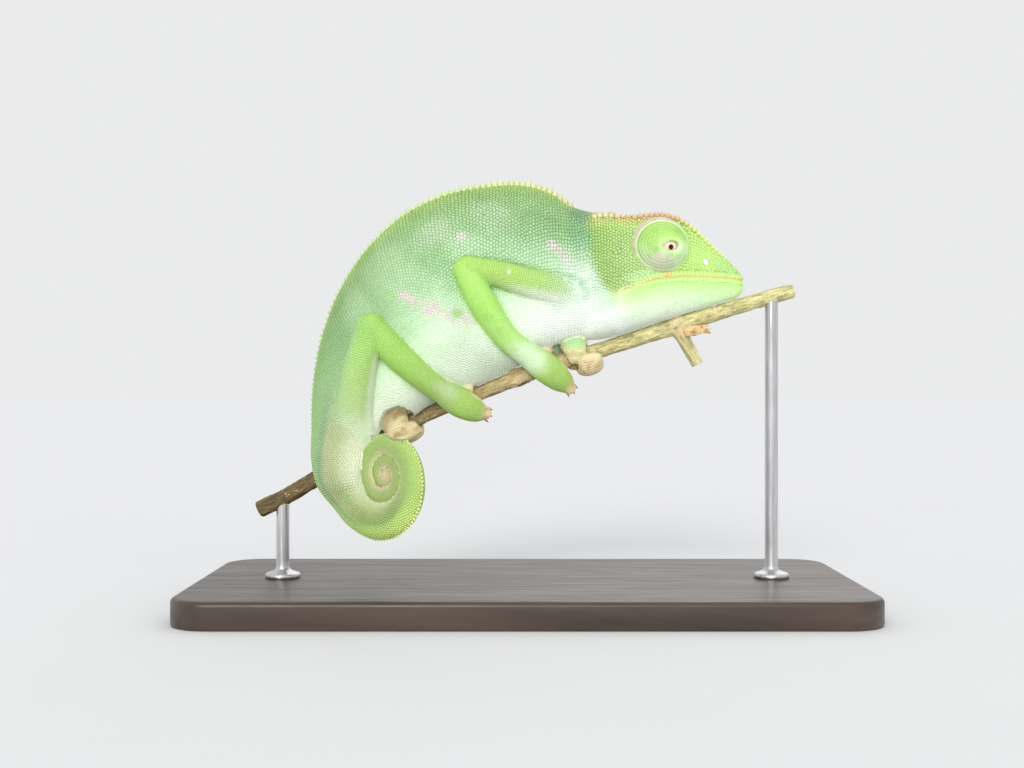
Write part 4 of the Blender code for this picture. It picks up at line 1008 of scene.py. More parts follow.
    # --- head
    z, x = p[:, 2], p[:, 0]
    lip = mouth_z(x)
    below = lip - z
    head = ramp(x, (13, (146, 190, 112)), (17, (162, 198, 112)), (22, (178, 210, 132)), (27, (184, 220, 132)), (34, (190, 228, 124)), (42, (194, 232, 130)), (50, (190, 228, 140)))
    head = mix(head, (196, 234, 118), 0.55 * smooth(z, 84, 87.5) * (1 - smooth(x, 24, 31)))
    head = mix(head, (206, 188, 116), 0.75 * smooth(z - np.interp(x, HEAD_KEYS[:, 0], HEAD_KEYS[:, 2]), -2.9, -1.3) * (1 - smooth(x, 33, 37)))
    head = mix(head, (198, 238, 140), 0.5 * spot(p, 38.5, 80.5, 4.5, 3.0, -35))
    head = mix(head, (178, 226, 150), 0.45 * spot(p, 45.5, 77.0, 4.5, 1.6, -25))
    head = mix(head, (206, 244, 178), 0.75 * spot(p, 27.5, 75.4, 6.5, 1.5, 12))
    head = mix(head, (138, 198, 112), 0.45 * smooth(noise3(p, 1.6, 6.1), 0.5, 0.8) * smooth(x, 24, 18))
    jaw = ramp(below, (-0.6, (200, 246, 136)), (0.6, (196, 244, 144)), (1.6, (204, 250, 158)), (3.4, (216, 255, 188)), (5.6, (230, 255, 216)), (8.5, (242, 255, 238)))
    jaw = mix(jaw, (246, 255, 246), 0.75 * smooth(x, 25, 16))
    # painted shade: dark dashes in the gaps just below the lower lip plates
    under_line = 0.5 + 0.5 * np.sin(x * 2 * math.pi / 0.92)
    jaw = mix(jaw, (150, 206, 120), 0.55 * np.exp(-((below - 0.95) / 0.22) ** 2) * under_line * smooth(x, 23, 27) * (1 - smooth(x, 45, 49)))
    head = mix(head, jaw, smooth(below, -0.1, 0.5) * smooth(x, 18.0, 21.5))
    head = mix(head, (230, 226, 146), 0.85 * np.exp(-((below + 0.25) / 0.34) ** 2) * smooth(x, 19.0, 22))
    head = mix(head, (238, 190, 116), 0.7 * spot(p, 31.6, 75.2, 0.85, 0.7))
    head = mix(head, (226, 220, 156), 0.7 * np.exp(-((below + 0.15) / 0.5) ** 2) * smooth(x, 18.0, 20) * (1 - smooth(x, 27, 31)))
    head = mix(head, (120, 178, 104), 0.75 * np.exp(-((below + 1.62) / 0.24) ** 2) * smooth(x, 31, 36) * (0.45 + 0.55 * np.sin(x * 2 * math.pi / 0.95)).clip(0, 1) * (1 - smooth(x, 47.5, 49.5)))
    top = smooth(n[:, 2], 0.35, 0.8) * smooth(z - lip, 2.0, 5.0)
    head = mix(head, (196, 228, 140), 0.4 * top)
    edge_x = np.interp(z, [60, 66, 70.6, 74, 80, 88, 92], [22.0, 20.5, 19.0, 16.6, 14.3, 14.1, 15.5])
    front = smooth(x - edge_x, -1.3, 1.3)
    white_throat = (1 - smooth(z, 64.5, 73.0)) * smooth(x, 25, 19)
    head = mix(head, (246, 255, 247), 0.85 * white_throat)
    on_neck = (code <= 1)
    col[on_neck] = mix(body, head, front)[on_neck]
    # painted shadow: the trunk darkened in the crevice just above the legs
    arm_dist = limb_distance(p, on_neck & (u < S_KEY[11]))
    crevice_shade = np.exp(-(np.maximum(arm_dist, 0) / 0.55) ** 2)
    col = np.where((on_neck & (p[:, 2] > 60))[:, None], mix(col, (94, 150, 116), 0.6 * crevice_shade * smooth(body.mean(1), 235, 205)), col)

    # --- eye turrets
    for k in (0, 1):
        m = (code == 2) & (which == k)
        if m.any():
            out, h, w = turret_local(p[m], k)
            q2 = p[m]
            r = np.hypot(h, w)
            c = ramp(w, (-6, (198, 226, 176)), (-3, (204, 232, 176)), (0, (192, 236, 152)), (2.0, (174, 226, 112)), (4.5, (180, 226, 118)), (6, (190, 232, 144)))
            c = mix(c, (222, 214, 190), 0.65 * spot(np.stack([h, h, w], 1), -1.6, -3.0, 2.6, 2.0, 0))
            c = mix(c, (226, 255, 200), 0.8 * smooth(h, 0.5, 4.5) * smooth(w, 3.0, -0.5))
            c = mix(c, (182, 222, 120), 0.5 * spot(np.stack([h, h, w], 1), -3.6, 0.6, 2.0, 2.6, 0))
            far = 5.82 * np.hypot((q2[:, 0] - 30.5) / 5.95, (q2[:, 2] - 81.65) / 5.55)
            c = mix(c, (196, 234, 168), smooth(far, 5.45, 5.65) * 0.8)
            c = mix(c, (132, 190, 96), 0.5 * np.exp(-((far - 5.42) / 0.14) ** 2) * smooth(w - 0.6 * h, -3.0, 2.0))
            c = mix(c, (240, 240, 200), 0.85 * np.exp(-((far - 5.82) / 0.15) ** 2) * (1 - 0.55 * smooth(h, 1.0, 4.5)))
            rosy = smooth(-h - 0.5 * w, -0.5, 3.5) * (0.35 + 0.65 * smooth(-h - w, -1.0, 4.0))
            c = mix(c, (214, 196, 182), 0.95 * smooth(far, 5.88, 6.05) * np.clip(rosy + 0.85 * smooth(w, 2, 4.5) * smooth(h, 4.0, 1.0), 0, 1))
            c = mix(c, (196, 224, 190), 0.7 * smooth(far - 0.55 * rosy, 6.25, 6.55) * (1 - 0.8 * smooth(w, 2, 4.5)))
            rings = 0.5 + 0.5 * np.sin(far * 2 * math.pi / 0.66)
            c = mix(c, c * 0.85, 0.75 * rings * smooth(r, 2.5, 3.6) * (1 - smooth(far, 5.4, 5.7)))
            c = mix(c, (226, 246, 196), 0.40 * np.exp(-((np.hypot((h - 0.33) / 2.42, w / 1.56) - 1.10) / 0.20) ** 2))
            c = mix(c, c * np.array((0.92, 0.97, 0.90)), smooth(noise3(q2, 1.4, 5.5), 0.5, 0.85))
            c = np.minimum(c * (1.07, 1.05, 1.07), 255)
            col[m] = c

    # --- limbs
    flank = flank_colours(p)
    pale = smooth(p[:, 0], 4.5, 12.5) * (1 - smooth(p[:, 2], 75, 84))
    flank = mix(flank, (214, 238, 214), 0.80 * pale)
    flank = mix(flank, (248, 255, 248), (1 - smooth(p[:, 2], 62, 73)) * smooth(p[:, 0], -8, 6))
    sign = np.where(which % 2 == 0, -1.0, 1.0)
    outer = n[:, 1] * sign
    arm = ramp(u, (0.0, (190, 224, 156)), (0.35, (182, 220, 128)), (0.7, (178, 220, 112)), (1.0, (174, 216, 108)))
    arm = mix(arm, (222, 242, 196), 0.8 * smooth(-n[:, 2], 0.15, 0.85) * (1 - smooth(u, 0.55, 0.9)))
    thigh = ramp(u, (0.0, (196, 214, 166)), (0.25, (190, 214, 156)), (0.5, (180, 212, 132)), (0.8, (168, 214, 116)), (1.0, (160, 208, 108)))
    thigh = mix(thigh, (176, 214, 158), 0.6 * smooth(-n[:, 0], 0.3, 0.9))
    thigh = mix(thigh, (238, 248, 228), 0.75 * smooth(n[:, 0], 0.45, 0.9) * (1 - smooth(u, 0.75, 0.95)))
    is_arm = (code == 3) & (which < 2)
    is_thigh = (code == 3) & (which >= 2)
    upper = np.where((which < 2)[:, None], arm, thigh)
    upper = mix(upper, (232, 246, 222), 0.75 * smooth(-outer, 0.1, 0.75))
    upper = mix(upper, flank, (1 - smooth(u, 0.10, np.where(which < 2, 0.62, 0.40))) * np.where(which < 2, 1.0, 0.6))
    upper = mix(upper, (250, 255, 248), 0.9 * smooth(-n[:, 2], 0.05, 0.75) * (which < 2) * (1 - smooth(u, 0.35, 0.75)))
    # painted shadow: a dark line along the top edge of the upper arm, in the crevice against the trunk
    upper = mix(upper, (110, 164, 112), 0.55 * smooth(n[:, 2], 0.72, 0.98) * smooth(u, 0.30, 0.62) * smooth(outer, -0.4, 0.2))
    upper = mix(upper, (255, 255, 250), spot(p, -3.9, 75.3, 0.42) * (outer > 0.3))
    m = is_arm | is_thigh
    col[m] = upper[m]
    fore = ramp(u, (0.0, (182, 232, 118)), (0.35, (182, 234, 118)), (0.62, (188, 236, 134)), (0.82, (192, 236, 148)), (0.93, (190, 230, 150)), (1.0, (190, 228, 150)))
    shank = ramp(u, (0.0, (164, 212, 106)), (0.3, (170, 218, 106)), (0.6, (174, 216, 110)), (0.82, (178, 214, 122)), (0.94, (182, 212, 130)), (1.0, (182, 212, 132)))
    lower = np.where((which < 2)[:, None], fore, shank)
    lower = mix(lower, (228, 244, 212), 0.8 * smooth(-outer, 0.1, 0.75))
    # painted sheen: a pale bluish-white patch on the right wrist
    lower = mix(lower, (228, 252, 214), 0.85 * spot(p, 0.5, 56.4, 5.4, 3.6, -32) * (which == 0))
    lower = mix(lower, (204, 222, 174), 0.65 * spot(p, -18.3, 49.3, 3.2, 1.7, -30) * (which == 2))
    lower = mix(lower, (160, 208, 106), 0.25 * smooth(noise3(p, 1.5, 9.2), 0.62, 0.85) * smooth(outer, 0.2, 0.7))
    m = code == 4
    col[m] = lower[m]

    # --- hands and feet
    d, away, r = twig_radius_at(p)
    facing = -(n * unit(away)).sum(1)
    green = ramp(u, (0.0, (184, 220, 142)), (0.3, (172, 210, 108)), (0.75, (160, 196, 98)), (1.0, (196, 198, 130)))
    tan = mix(np.tile(np.array((246, 222, 176.0)), (len(p), 1)), (220, 188, 146), smooth(noise3(p, 0.9, 2.2), 0.4, 0.8))
    mitt = mix(green, tan, np.clip(smooth(u, 0.66, 0.88) + 0.9 * smooth(facing, -0.40, 0.20) * smooth(u, 0.12, 0.30), 0, 1))
    mitt = mix(mitt, tan, 0.85 * smooth(n[:, 2], 0.30, 0.65) * smooth(u, 0.38, 0.58))
    # painted sheen: the pale bluish-white patch of the right wrist, running onto the hand
    mitt = mix(mitt, (228, 252, 214), 0.85 * spot(p, 0.5, 56.4, 5.4, 3.6, -32) * (which == 0))
    mitt = mix(mitt, (204, 222, 174), 0.65 * spot(p, -18.3, 49.3, 3.2, 1.7, -30) * (which == 1))
    m = code == 5
    col[m] = mitt[m]
    wrap_green = np.tile(np.array((184, 226, 158.0)), (len(p), 1))
    share = np.select([which == 0, which == 1, which == 2, which == 3, which == 4, which == 5], [0.25, 0.25, 0.8, 0.35, 0.35, 0.35], 0.3)
    side = np.select([which == 2, which == 3], [smooth(n[:, 2], 0.1, 0.7), smooth(n[:, 0] + n[:, 2] * 0.4, 0.35, 0.9)], smooth(n[:, 1], 0.1, 0.7))
    wrap = mix(tan, wrap_green, np.clip(share * 0.35 + side * (0.3 + share), 0, 1))
    m = code == 6
    col[m] = wrap[m]
    return np.clip(col, 0, 255)


# how bright each area comes out in studio light compared with its own colour
LIGHT_SCALE = 0.785


def colours_at(points, normals, code, which, u, v, shade=1.0):
    rgb = linear(paint(points, code, which, u, v, normals)) * LIGHT_SCALE
    return rgb * np.asarray(shade)[..., None] if np.ndim(shade) else rgb * shade


def crispness(p, code, u, v):
    """How clearly the scales stand apart, in height and in painted shade at their rims and in the gaps: strong on the
    shoulder and temple, faint on belly, throat and rear.
    """
    t = np.cos(2 * math.pi * v)
    k = np.full(len(p), 0.45)
    body = (0.78 - 0.48 * smooth(u, S_KEY[5], S_KEY[9])) * (0.34 + 0.66 * smooth(t, -0.40, 0.30))
    body = body + (0.42 - body) * smooth(u, S_KEY[10], S_KEY[12])
    k = np.where(code == 0, body, k)
    above = p[:, 2] - mouth_z(p[:, 0])
    head = (0.28 + 0.54 * smooth(above, 0.2, 2.6)) * (1 - 0.40 * smooth(p[:, 0], 33, 42))
    head = head * (0.55 + 0.45 * smooth(above, -5.0, -1.0))
    k = np.where(code == 1, head, k)
    k = np.where(code == 2, 0.55, k)
    k = np.where((code == 3) & (p[:, 0] > -10), 0.60 + 0.25 * (1 - smooth(u, 0.1, 0.6)), k)
    low_throat = smooth(p[:, 0], 2, 10) * (1 - smooth(p[:, 2], 66, 73)) * (code <= 1)
    return k * (1 - 0.55 * low_throat)


# ================================================================ building scales as solids
def directions(points, normal, code, which, u):
    """Unit vector along the lie of the coat at each root: towards the tail, the toes or the back of the head."""
    lie = np.tile(np.array([-1.0, 0, -0.05]), (len(points), 1))
    body = code == 0
    if body.any():
        lie[body] = SPINE_TRACK.tangent(u[body])
    for c, tables in ((3, (ARM_R, ARM_L, THIGH_R, THIGH_L)), (4, (FOREARM_R, FOREARM_L, SHANK_R, SHANK_L)), (5, (MITT_FR, MITT_HR))):
        for k, rows in enumerate(tables):
            m = (code == c) & (which == k)
            if m.any():
                t = Track(rows)
                lie[m] = t.tangent(np.clip(u[m], 0.02, 0.98) * t.length)
    m = code == 6
    if m.any():
        d, away, r = twig_radius_at(points[m])
        _, along, _, _ = twig_frame(points[m][:, 0])
        lie[m] = np.cross(unit(away), along)
    for k in (0, 1):
        m = (code == 2) & (which == k)
        if m.any():
            centre, axis, ahead, up = TURRET_FRAMES[k]
            d = points[m] - centre
            lie[m] = d - (d @ axis)[:, None] * axis
    lie = lie - (lie * normal).sum(1, keepdims=True) * normal
    weak = np.linalg.norm(lie, axis=1) < 0.05
    lie[weak] = np.cross(normal[weak], [0.31, 0.9, 0.3])
    return unit(lie)


ATLAS = {}                            # (code, which) -> x, y, width, height of its place on the unwrap
ATLAS[(0, 0)] = (0.01, 0.01, 0.98, 0.43)
ATLAS[(1, 0)] = (0.01, 0.46, 0.30, 0.22)
for k in (0, 1):
    ATLAS[(2, k)] = (0.32 + 0.18 * k, 0.46, 0.17, 0.20)
    ATLAS[(5, k)] = (0.68 + 0.15 * k, 0.46, 0.14, 0.20)
for k in range(4):
    ATLAS[(3, k)] = (0.01 + 0.15 * k, 0.695, 0.14, 0.14)
    ATLAS[(4, k)] = (0.01 + 0.15 * k, 0.845, 0.14, 0.145)
for k in range(6):
    ATLAS[(6, k)] = (0.63 + 0.12 * (k % 3), 0.695 + 0.15 * (k // 3), 0.115, 0.14)


def atlas_place(points, code, which, u, v):
    """Place of each root on the unwrap of the skin's own shape."""
    out = np.zeros((len(points), 2))
    for (c, k), (x, y, w, h) in ATLAS.items():
        m = (code == c) & (which == k)
        if not m.any():
            continue
        if c == 0:
            f = u[m] / SPINE_END
        elif c == 1:
            f = (u[m] - 14) / 36
        elif c == 2:
            f = u[m] / (len(TURRET) - 6)
        else:
            f = u[m]
        out[m, 0] = x + w * np.clip(f, 0, 1)
        out[m, 1] = y + h * np.clip(v[m], 0, 1)
    return out


class Coat:
    """Collects scales as solids: rings of corners from the root up to a middle point."""

    def __init__(self):
        self.parts = {}

    def add(self, piece, c, n, e1, e2, radii, profile, height, colour, spots, seed_shade=0.05, crisp=None):
        """profile: (share of radius, share of height, shift along the lie, painted light: under 1 shade, over 1
        highlight) for each ring, last one the tip.
        """
        count, corners = radii.shape
        if count == 0:
            return
        a = np.arange(corners) * 2 * math.pi / corners
        ring_dir = np.cos(a)[None, :, None] * e1[:, None] + np.sin(a)[None, :, None] * e2[:, None]
        shade = 1 + seed_shade * (rng.random(count) * 2 - 1)
        crisp = np.ones(count) if crisp is None else crisp
        pts, cols, uvs = [], [], []
        mean = radii.mean(1)
        # each ring's colour takes its painted light, shade at the rim and highlight at the tip, scaled by crisp
        for share, up, shift, tone in profile[:-1]:
            pts.append(c[:, None] + ring_dir * (radii * share)[..., None] + n[:, None] * (height * up)[:, None, None]
                       + e1[:, None] * (mean * shift)[:, None, None])
            cols.append(np.repeat((colour * (shade * (1 + (tone - 1) * crisp))[:, None])[:, None], corners, 1))
            uvs.append(np.repeat(spots[:, None], corners, 1) + 0.0015 * min(1.0, share) * np.stack([np.cos(a), np.sin(a)], 1)[None])
        share, up, shift, tone = profile[-1]
        pts.append((c + n * (height * up)[:, None] + e1 * (mean * shift)[:, None])[:, None])
        cols.append((colour * (shade * (1 + (tone - 1) * crisp))[:, None])[:, None])
        uvs.append(spots[:, None])
        pts, cols, uvs = (np.concatenate(g, 1) for g in (pts, cols, uvs))
        rings = len(profile) - 1
        k = np.arange(corners)
        kn = (k + 1) % corners
        loops = [k[::-1]]
        totals = [corners]
        for r in range(rings - 1):
            for j in range(corners):
                loops.append(np.array([r * corners + j, r * corners + kn[j], (r + 1) * corners + kn[j], (r + 1) * corners + j]))
                totals.append(4)
        tip = rings * corners
        for j in range(corners):
            loops.append(np.array([(rings - 1) * corners + j, (rings - 1) * corners + kn[j], tip]))
            totals.append(3)
        triangles = sum(x - 2 for x in totals)
        self.parts.setdefault(piece, []).append((pts, cols, uvs, np.concatenate(loops), np.array(totals), triangles))

    def build(self, piece, most=190000):
        """Objects of the piece, each under this many triangles."""
        made, batch, total = [], [], 0
        for pts, cols, uvs, loops, totals, triangles in self.parts.get(piece, []):
            start = 0
            while start < len(pts):
                room = max(1, (most - total) // triangles)
                stop = min(len(pts), start + room)
                if room <= 1 and total > 0.9 * most:
                    made.append(batch)
                    batch, total = [], 0
                    continue
                batch.append((pts[start:stop], cols[start:stop], uvs[start:stop], loops, totals))
                total += (stop - start) * triangles
                start = stop
                if total > most - 2 * triangles:
                    made.append(batch)
                    batch, total = [], 0
        if batch:
            made.append(batch)
        objs = []
        for i, group in enumerate(made):
            name = piece if len(made) == 1 else f"{piece}_{i + 1}"
            P, C, U, L, T = [], [], [], [], []
            base = 0
            for pts, cols, uvs, loops, totals in group:
                m, per = pts.shape[:2]
                P.append(pts.reshape(-1, 3))
                C.append(cols.reshape(-1, 3))
                every = (loops[None] + (np.arange(m) * per)[:, None]).ravel()
                L.append(every + base)
                U.append(uvs.reshape(-1, 2)[every])
                T.append(np.tile(totals, m))
                base += m * per
            P, C, L, T, U = (np.concatenate(g) for g in (P, C, L, T, U))
            starts = np.concatenate([[0], np.cumsum(T)[:-1]])
            obj = fast_mesh(name, P, L, starts, T)
            finish_mesh(obj, C, U)
            objs.append(obj)
        return objs


def finish_mesh(obj, colour, uv=None):
    mesh = obj.data
    layer = mesh.color_attributes.new("paint", "FLOAT_COLOR", "POINT")
    rgba = np.ones((len(mesh.vertices), 4), np.float32)
    rgba[:, :3] = np.clip(colour, 0, 1)
    layer.data.foreach_set("color", rgba.ravel())
    if uv is not None:
        m = mesh.uv_layers.new(name="OFBake")
        m.data.foreach_set("uv", np.asarray(uv, np.float32).ravel())
    mesh.polygons.foreach_set("use_smooth", np.ones(len(mesh.polygons), bool))
    mesh.update()


# ================================================================ rows of special scales
coat = Coat()
special_at, special_size = [], []     # places that the common scales leave free


def on_skin(points):
    hits = [tree.find_nearest(p) for p in points]
    return np.array([tuple(h[0]) for h in hits]), np.array([tuple(h[1]) for h in hits])


def frame_from(n, ahead):
    n = unit(n)
    e1 = unit(ahead - (ahead * n).sum(1, keepdims=True) * n)
    return n, e1, np.cross(n, e1)


def oval(a, b, corners, power=2.0):
    t = np.arange(corners) * 2 * math.pi / corners
    return (np.abs(np.cos(t)[None] / a[:, None]) ** power + np.abs(np.sin(t)[None] / b[:, None]) ** power) ** (-1 / power)


# the last number of each ring is painted light: under 1 shade at the rim, over 1 highlight at the tip
TOOTH = [(1.0, -0.35, 0.0, 0.86), (0.97, 0.0, 0.0, 0.94), (0.72, 0.33, 0.03, 1.0), (0.46, 0.62, 0.09, 1.03), (0.20, 0.88, 0.16, 1.05), (0.0, 1.0, 0.20, 1.05)]
BLUNT = [(1.0, -0.4, 0.0, 0.84), (0.97, 0.05, 0.0, 0.93), (0.80, 0.42, 0.02, 1.0), (0.52, 0.76, 0.05, 1.04), (0.22, 0.95, 0.08, 1.05), (0.0, 1.0, 0.09, 1.05)]
CONE = [(1.0, -0.35, -0.02, 0.80), (0.96, 0.02, 0.0, 0.92), (0.66, 0.36, 0.08, 1.0), (0.36, 0.68, 0.20, 1.04), (0.14, 0.90, 0.30, 1.06), (0.0, 1.0, 0.34, 1.06)]
KNOB = [(1.0, -0.5, 0.0, 0.74), (0.96, 0.10, 0.0, 0.92), (0.80, 0.56, 0.03, 1.0), (0.46, 0.88, 0.06, 1.05), (0.0, 1.0, 0.08, 1.06)]
PLATE = [(1.0, -0.5, 0.0, 0.76), (0.95, 0.42, 0.0, 0.95), (0.70, 0.88, 0.02, 1.02), (0.0, 1.0, 0.04, 1.03)]
DOME = [(1.0, -0.55, 0.0, 0.62), (0.96, 0.30, 0.01, 0.84), (0.66, 0.82, 0.05, 1.0), (0.0, 1.0, 0.10, 1.08)]
BEAD = [(1.0, -0.5, 0.0, 0.68), (0.84, 0.52, 0.02, 0.94), (0.0, 1.0, 0.08, 1.07)]

# crest along the back, from the nape to the tip of the tail
at, sizes = [], []
s_now = S_KEY[2] + 0.5
while s_now < SPINE_END - 1.0:
    size = float(np.interp(s_now, [S_KEY[2], S_KEY[6], S_KEY[8], S_KEY[11], S_COIL + 25, SPINE_END], [1.36, 1.20, 0.94, 0.76, 0.66, 0.45]))
    at.append(s_now)
    sizes.append(size)
    s_now += size
at, sizes = np.array(at), np.array(sizes)
high = np.interp(at, [S_KEY[2], S_KEY[3], S_KEY[6], S_KEY[8], S_KEY[10], S_KEY[11], S_COIL, S_COIL + 30, SPINE_END],
                 [1.15, 1.45, 1.25, 0.84, 0.66, 0.62, 0.60, 0.46, 0.12])
high *= 1 + 0.14 * (rng.random(len(at)) * 2 - 1)
tops = spine_points(at, np.zeros(len(at)), -COAT)
_, up, side = spine_frame(at)
c, _ = on_skin(tops)
for i in range(len(at)):
    loc, _, _, _ = tree.ray_cast(tops[i] + up[i] * 1.6, -up[i], 3.6)
    if loc is not None:
        c[i] = loc
ridge_line = unit(np.gradient(c, axis=0))
n = up - (up * ridge_line).sum(1, keepdims=True) * ridge_line
n, e1, e2 = frame_from(n, ridge_line)
rgb = paint(c, np.zeros(len(c), int), np.zeros(len(c), int), at, np.zeros(len(c)), n)
tip_colour = ramp(at, (S_KEY[2], (238, 214, 178)), (S_KEY[4], (228, 230, 188)), (S_KEY[7], (206, 226, 168)), (S_KEY[11], (196, 220, 150)),
                  (S_KEY[13], (218, 232, 172)), (S_COIL + 20, (222, 230, 172)), (SPINE_END, (206, 196, 150)))
rgb = mix(rgb, tip_colour, 0.62 - 0.34 * smooth(at, S_KEY[9], S_KEY[12]))
fat = np.interp(at, [S_KEY[2], S_KEY[10], S_COIL], [0.46, 0.50, 0.52])
coat.add("coat_crest", c - n * 0.05, n, e1, e2, oval(sizes * 0.68, sizes * fat, 8), TOOTH, high, linear(rgb) * LIGHT_SCALE,
         atlas_place(c, np.zeros(len(c), int), np.zeros(len(c), int), at, np.zeros(len(c))))
special_at.append(c)
special_size.append(sizes * 0.82)

# side crests of the head, over the casque and the eyes and down the snout
for sign in (-1, 1):
    x_now, xs, sz = 15.4, [], []
    while x_now < 49.0:
        size = float(np.interp(x_now, [13, 30, 40, 46, 49], [1.32, 1.26, 1.14, 0.90, 0.66]))
        row = head_row(x_now)
        ahead_row = head_row(min(49.5, x_now + 0.5))
        xs.append((x_now, sign * row[3], row[2]))
        sz.append(size)
        slope = math.hypot(1, (ahead_row[2] - row[2]) / 0.5)
        x_now += size / slope
    xs, sz = np.array(xs), np.array(sz)
    c, sn = on_skin(xs)
    ahead = np.gradient(xs, axis=0) * -1
    lift = np.stack([-ahead[:, 2] * -1, np.zeros(len(xs)), -ahead[:, 0]], 1)
    n = unit(unit(lift) * 0.85 + np.array([0, sign * 0.5, 0]) + 0.25 * sn)
    n, e1, e2 = frame_from(n, ahead)
    hh = np.interp(xs[:, 0], [13, 18, 26, 31, 38, 44, 49], [0.46, 0.62, 0.62, 0.66, 0.60, 0.46, 0.28]) * (1 + 0.10 * (rng.random(len(xs)) * 2 - 1))
    rgb = ramp(xs[:, 0], (13, (206, 200, 150)), (17, (222, 208, 164)), (24, (214, 184, 148)), (30, (204, 170, 136)), (34.5, (208, 180, 134)), (37, (214, 214, 140)),
               (40, (206, 236, 138)), (45, (204, 232, 152)), (49, (186, 214, 150)))
    code1 = np.ones(len(c), int)
    coat.add("coat_crest", c - n * 0.06, n, e1, e2, oval(sz * 0.57, sz * 0.44, 10), BLUNT, hh * 1.25, linear(rgb) * LIGHT_SCALE,
             atlas_place(c, code1, code1 * 0, xs[:, 0], np.full(len(c), 0.12 if sign < 0 else 0.88)))
    special_at.append(c)
    special_size.append(sz * 0.86)
    # one larger white scale behind the nostril; its white, left brighter than the rest of the coat, is a painted glint
    c, sn = on_skin(np.array([(40.5, sign * 4.6, 78.1)]))
    n, e1, e2 = frame_from(sn, np.array([(-0.35, 0, 1.0)]))
    code1 = np.ones(1, int)
    coat.add("coat_crest", c - n * 0.05, n, e1, e2, oval(np.full(1, 0.72), np.full(1, 0.52), 12), KNOB, np.full(1, 0.22), linear(np.array([(255.0, 255, 250)])),
             atlas_place(c, code1, code1 * 0, c[:, 0], np.full(1, 0.28 if sign < 0 else 0.72)))
    special_at.append(c)
    special_size.append(np.full(1, 1.15))

# white cones under the throat
xs = np.arange(14.6, 23.4, 1.12)
under = np.array([(x, 0.0, head_row(max(11.0, x))[12] - 0.6) for x in xs])
c, sn = on_skin(under)
n, e1, e2 = frame_from(np.tile(np.array([0.12, 0, -1.0]), (len(c), 1)), np.tile(np.array([-1.0, 0, 0]), (len(c), 1)))
hh = np.interp(xs, [14, 16, 23.5], [0.55, 0.8, 0.42])
d0, _, r0 = twig_radius_at(c + n * hh[:, None])
ok = d0 > r0 + 0.15
code1 = np.ones(len(c), int)
coat.add("coat_crest", (c - n * 0.05)[ok], n[ok], e1[ok], e2[ok], oval(np.full(ok.sum(), 0.54), np.full(ok.sum(), 0.44), 8), CONE, hh[ok],
         np.tile(linear((244, 250, 240)) * LIGHT_SCALE, (ok.sum(), 1)), atlas_place(c, code1, code1 * 0, xs, np.full(len(c), 0.5))[ok])
special_at.append(c)
special_size.append(np.full(len(c), 0.9))

# plates along both lips
for sign in (-1, 1):
    for up_down, tall, colour in ((0.30, 0.25, (226, 222, 140)), (1.02, 0.44, (194, 234, 132)), (-0.40, 0.34, (200, 244, 146))):
        xs, x_now = [], 49.5
        while x_now > (20.0 if 0 < up_down < 1 else 24.0):
            xs.append(x_now)
            x_now -= float(np.interp(x_now, [22, 40, 49], [0.92, 0.94, 0.62])) * (0.8 if 0 < up_down < 1 else 1.0)
        xs = np.array(xs)
        wide = np.interp(xs, HEAD_KEYS[:, 0], HEAD_KEYS[:, 9])
        line = np.stack([xs, sign * (wide + 0.3), mouth_z(xs) + up_down], 1)
        c, sn = on_skin(line)
        n, e1, e2 = frame_from(sn, np.gradient(line, axis=0))
        rgb = np.tile(np.array(colour, float), (len(c), 1))
        if 0 < up_down < 1:
            rgb = mix(rgb, (226, 224, 164), 0.85 * smooth(xs, 31, 24))
            rgb = mix(rgb, (236, 210, 130), 0.6 * smooth(xs, 46, 49.5))
        rgb = mix(rgb, (238, 192, 118), 0.7 * spot(c, 31.6, 75.2, 0.85, 0.75))
        step_size = np.abs(np.gradient(xs))
        code1 = np.ones(len(c), int)
        coat.add("coat_head_lips", c - n * 0.04, n, e1, e2, oval(step_size * 0.47, np.full(len(c), tall), 12, 3.0), PLATE, np.full(len(c), 0.15),
                 linear(rgb) * LIGHT_SCALE, atlas_place(c, code1, code1 * 0, xs, np.full(len(c), 0.375 - 0.02 * up_down if sign < 0 else 0.625 + 0.02 * up_down)))
        special_at.append(c)
        special_size.append(np.full(len(c), 1.7 * tall))
special_at, special_size = np.concatenate(special_at), np.concatenate(special_size)

# ================================================================ the common scales
drop = np.zeros(len(roots), bool)
for k in (0, 1):
    out, h, w = turret_local(roots, k)
    drop |= (code == 2) & (which == k) & (np.hypot((h - 0.33) / 2.30, w / 1.45) < 1.0)
d, away, r = twig_radius_at(roots)
drop |= (d < r + 0.14) & (np.abs(roots[:, 0]) < 61)
drop |= (code == 1) & (np.abs(roots[:, 2] - mouth_z(roots[:, 0])) < 0.30) & (roots[:, 0] > 20.5)
special_kd = KDTree(len(special_at))
for i, p in enumerate(special_at):
    special_kd.insert(p, i)
special_kd.balance()
for i, p in enumerate(roots):
    for _, j, dist in special_kd.find_range(p, 1.3):
        if dist < 0.5 * special_size[j] + 0.30 * pitch[i]:
            drop[i] = True
keep = ~drop
roots, root_normal, code, which, pu, pv, pitch = (a[keep] for a in (roots, root_normal, code, which, pu, pv, pitch))
lie = directions(roots, root_normal, code, which, pu)
root_normal, e1, e2 = frame_from(root_normal, lie)
everywhere = np.concatenate([roots, special_at])
every_size = np.concatenate([pitch, special_size])
every_normal = np.concatenate([root_normal, on_skin(special_at)[1]])
kd = KDTree(len(everywhere))
for i, p in enumerate(everywhere):
    kd.insert(p, i)
kd.balance()
idx = np.zeros((len(roots), 11), int)
for i, p in enumerate(roots):
    ids = [f[1] for f in kd.find_n(p, 12) if f[1] != i][:11]
    idx[i, :len(ids)] = ids
colour = colours_at(roots, root_normal, code, which, pu, pv)
tone = 1 + 0.07 * (noise3(roots, 2.2, 4.4) - 0.5) + 0.07 * (rng.random(len(roots)) - 0.5)
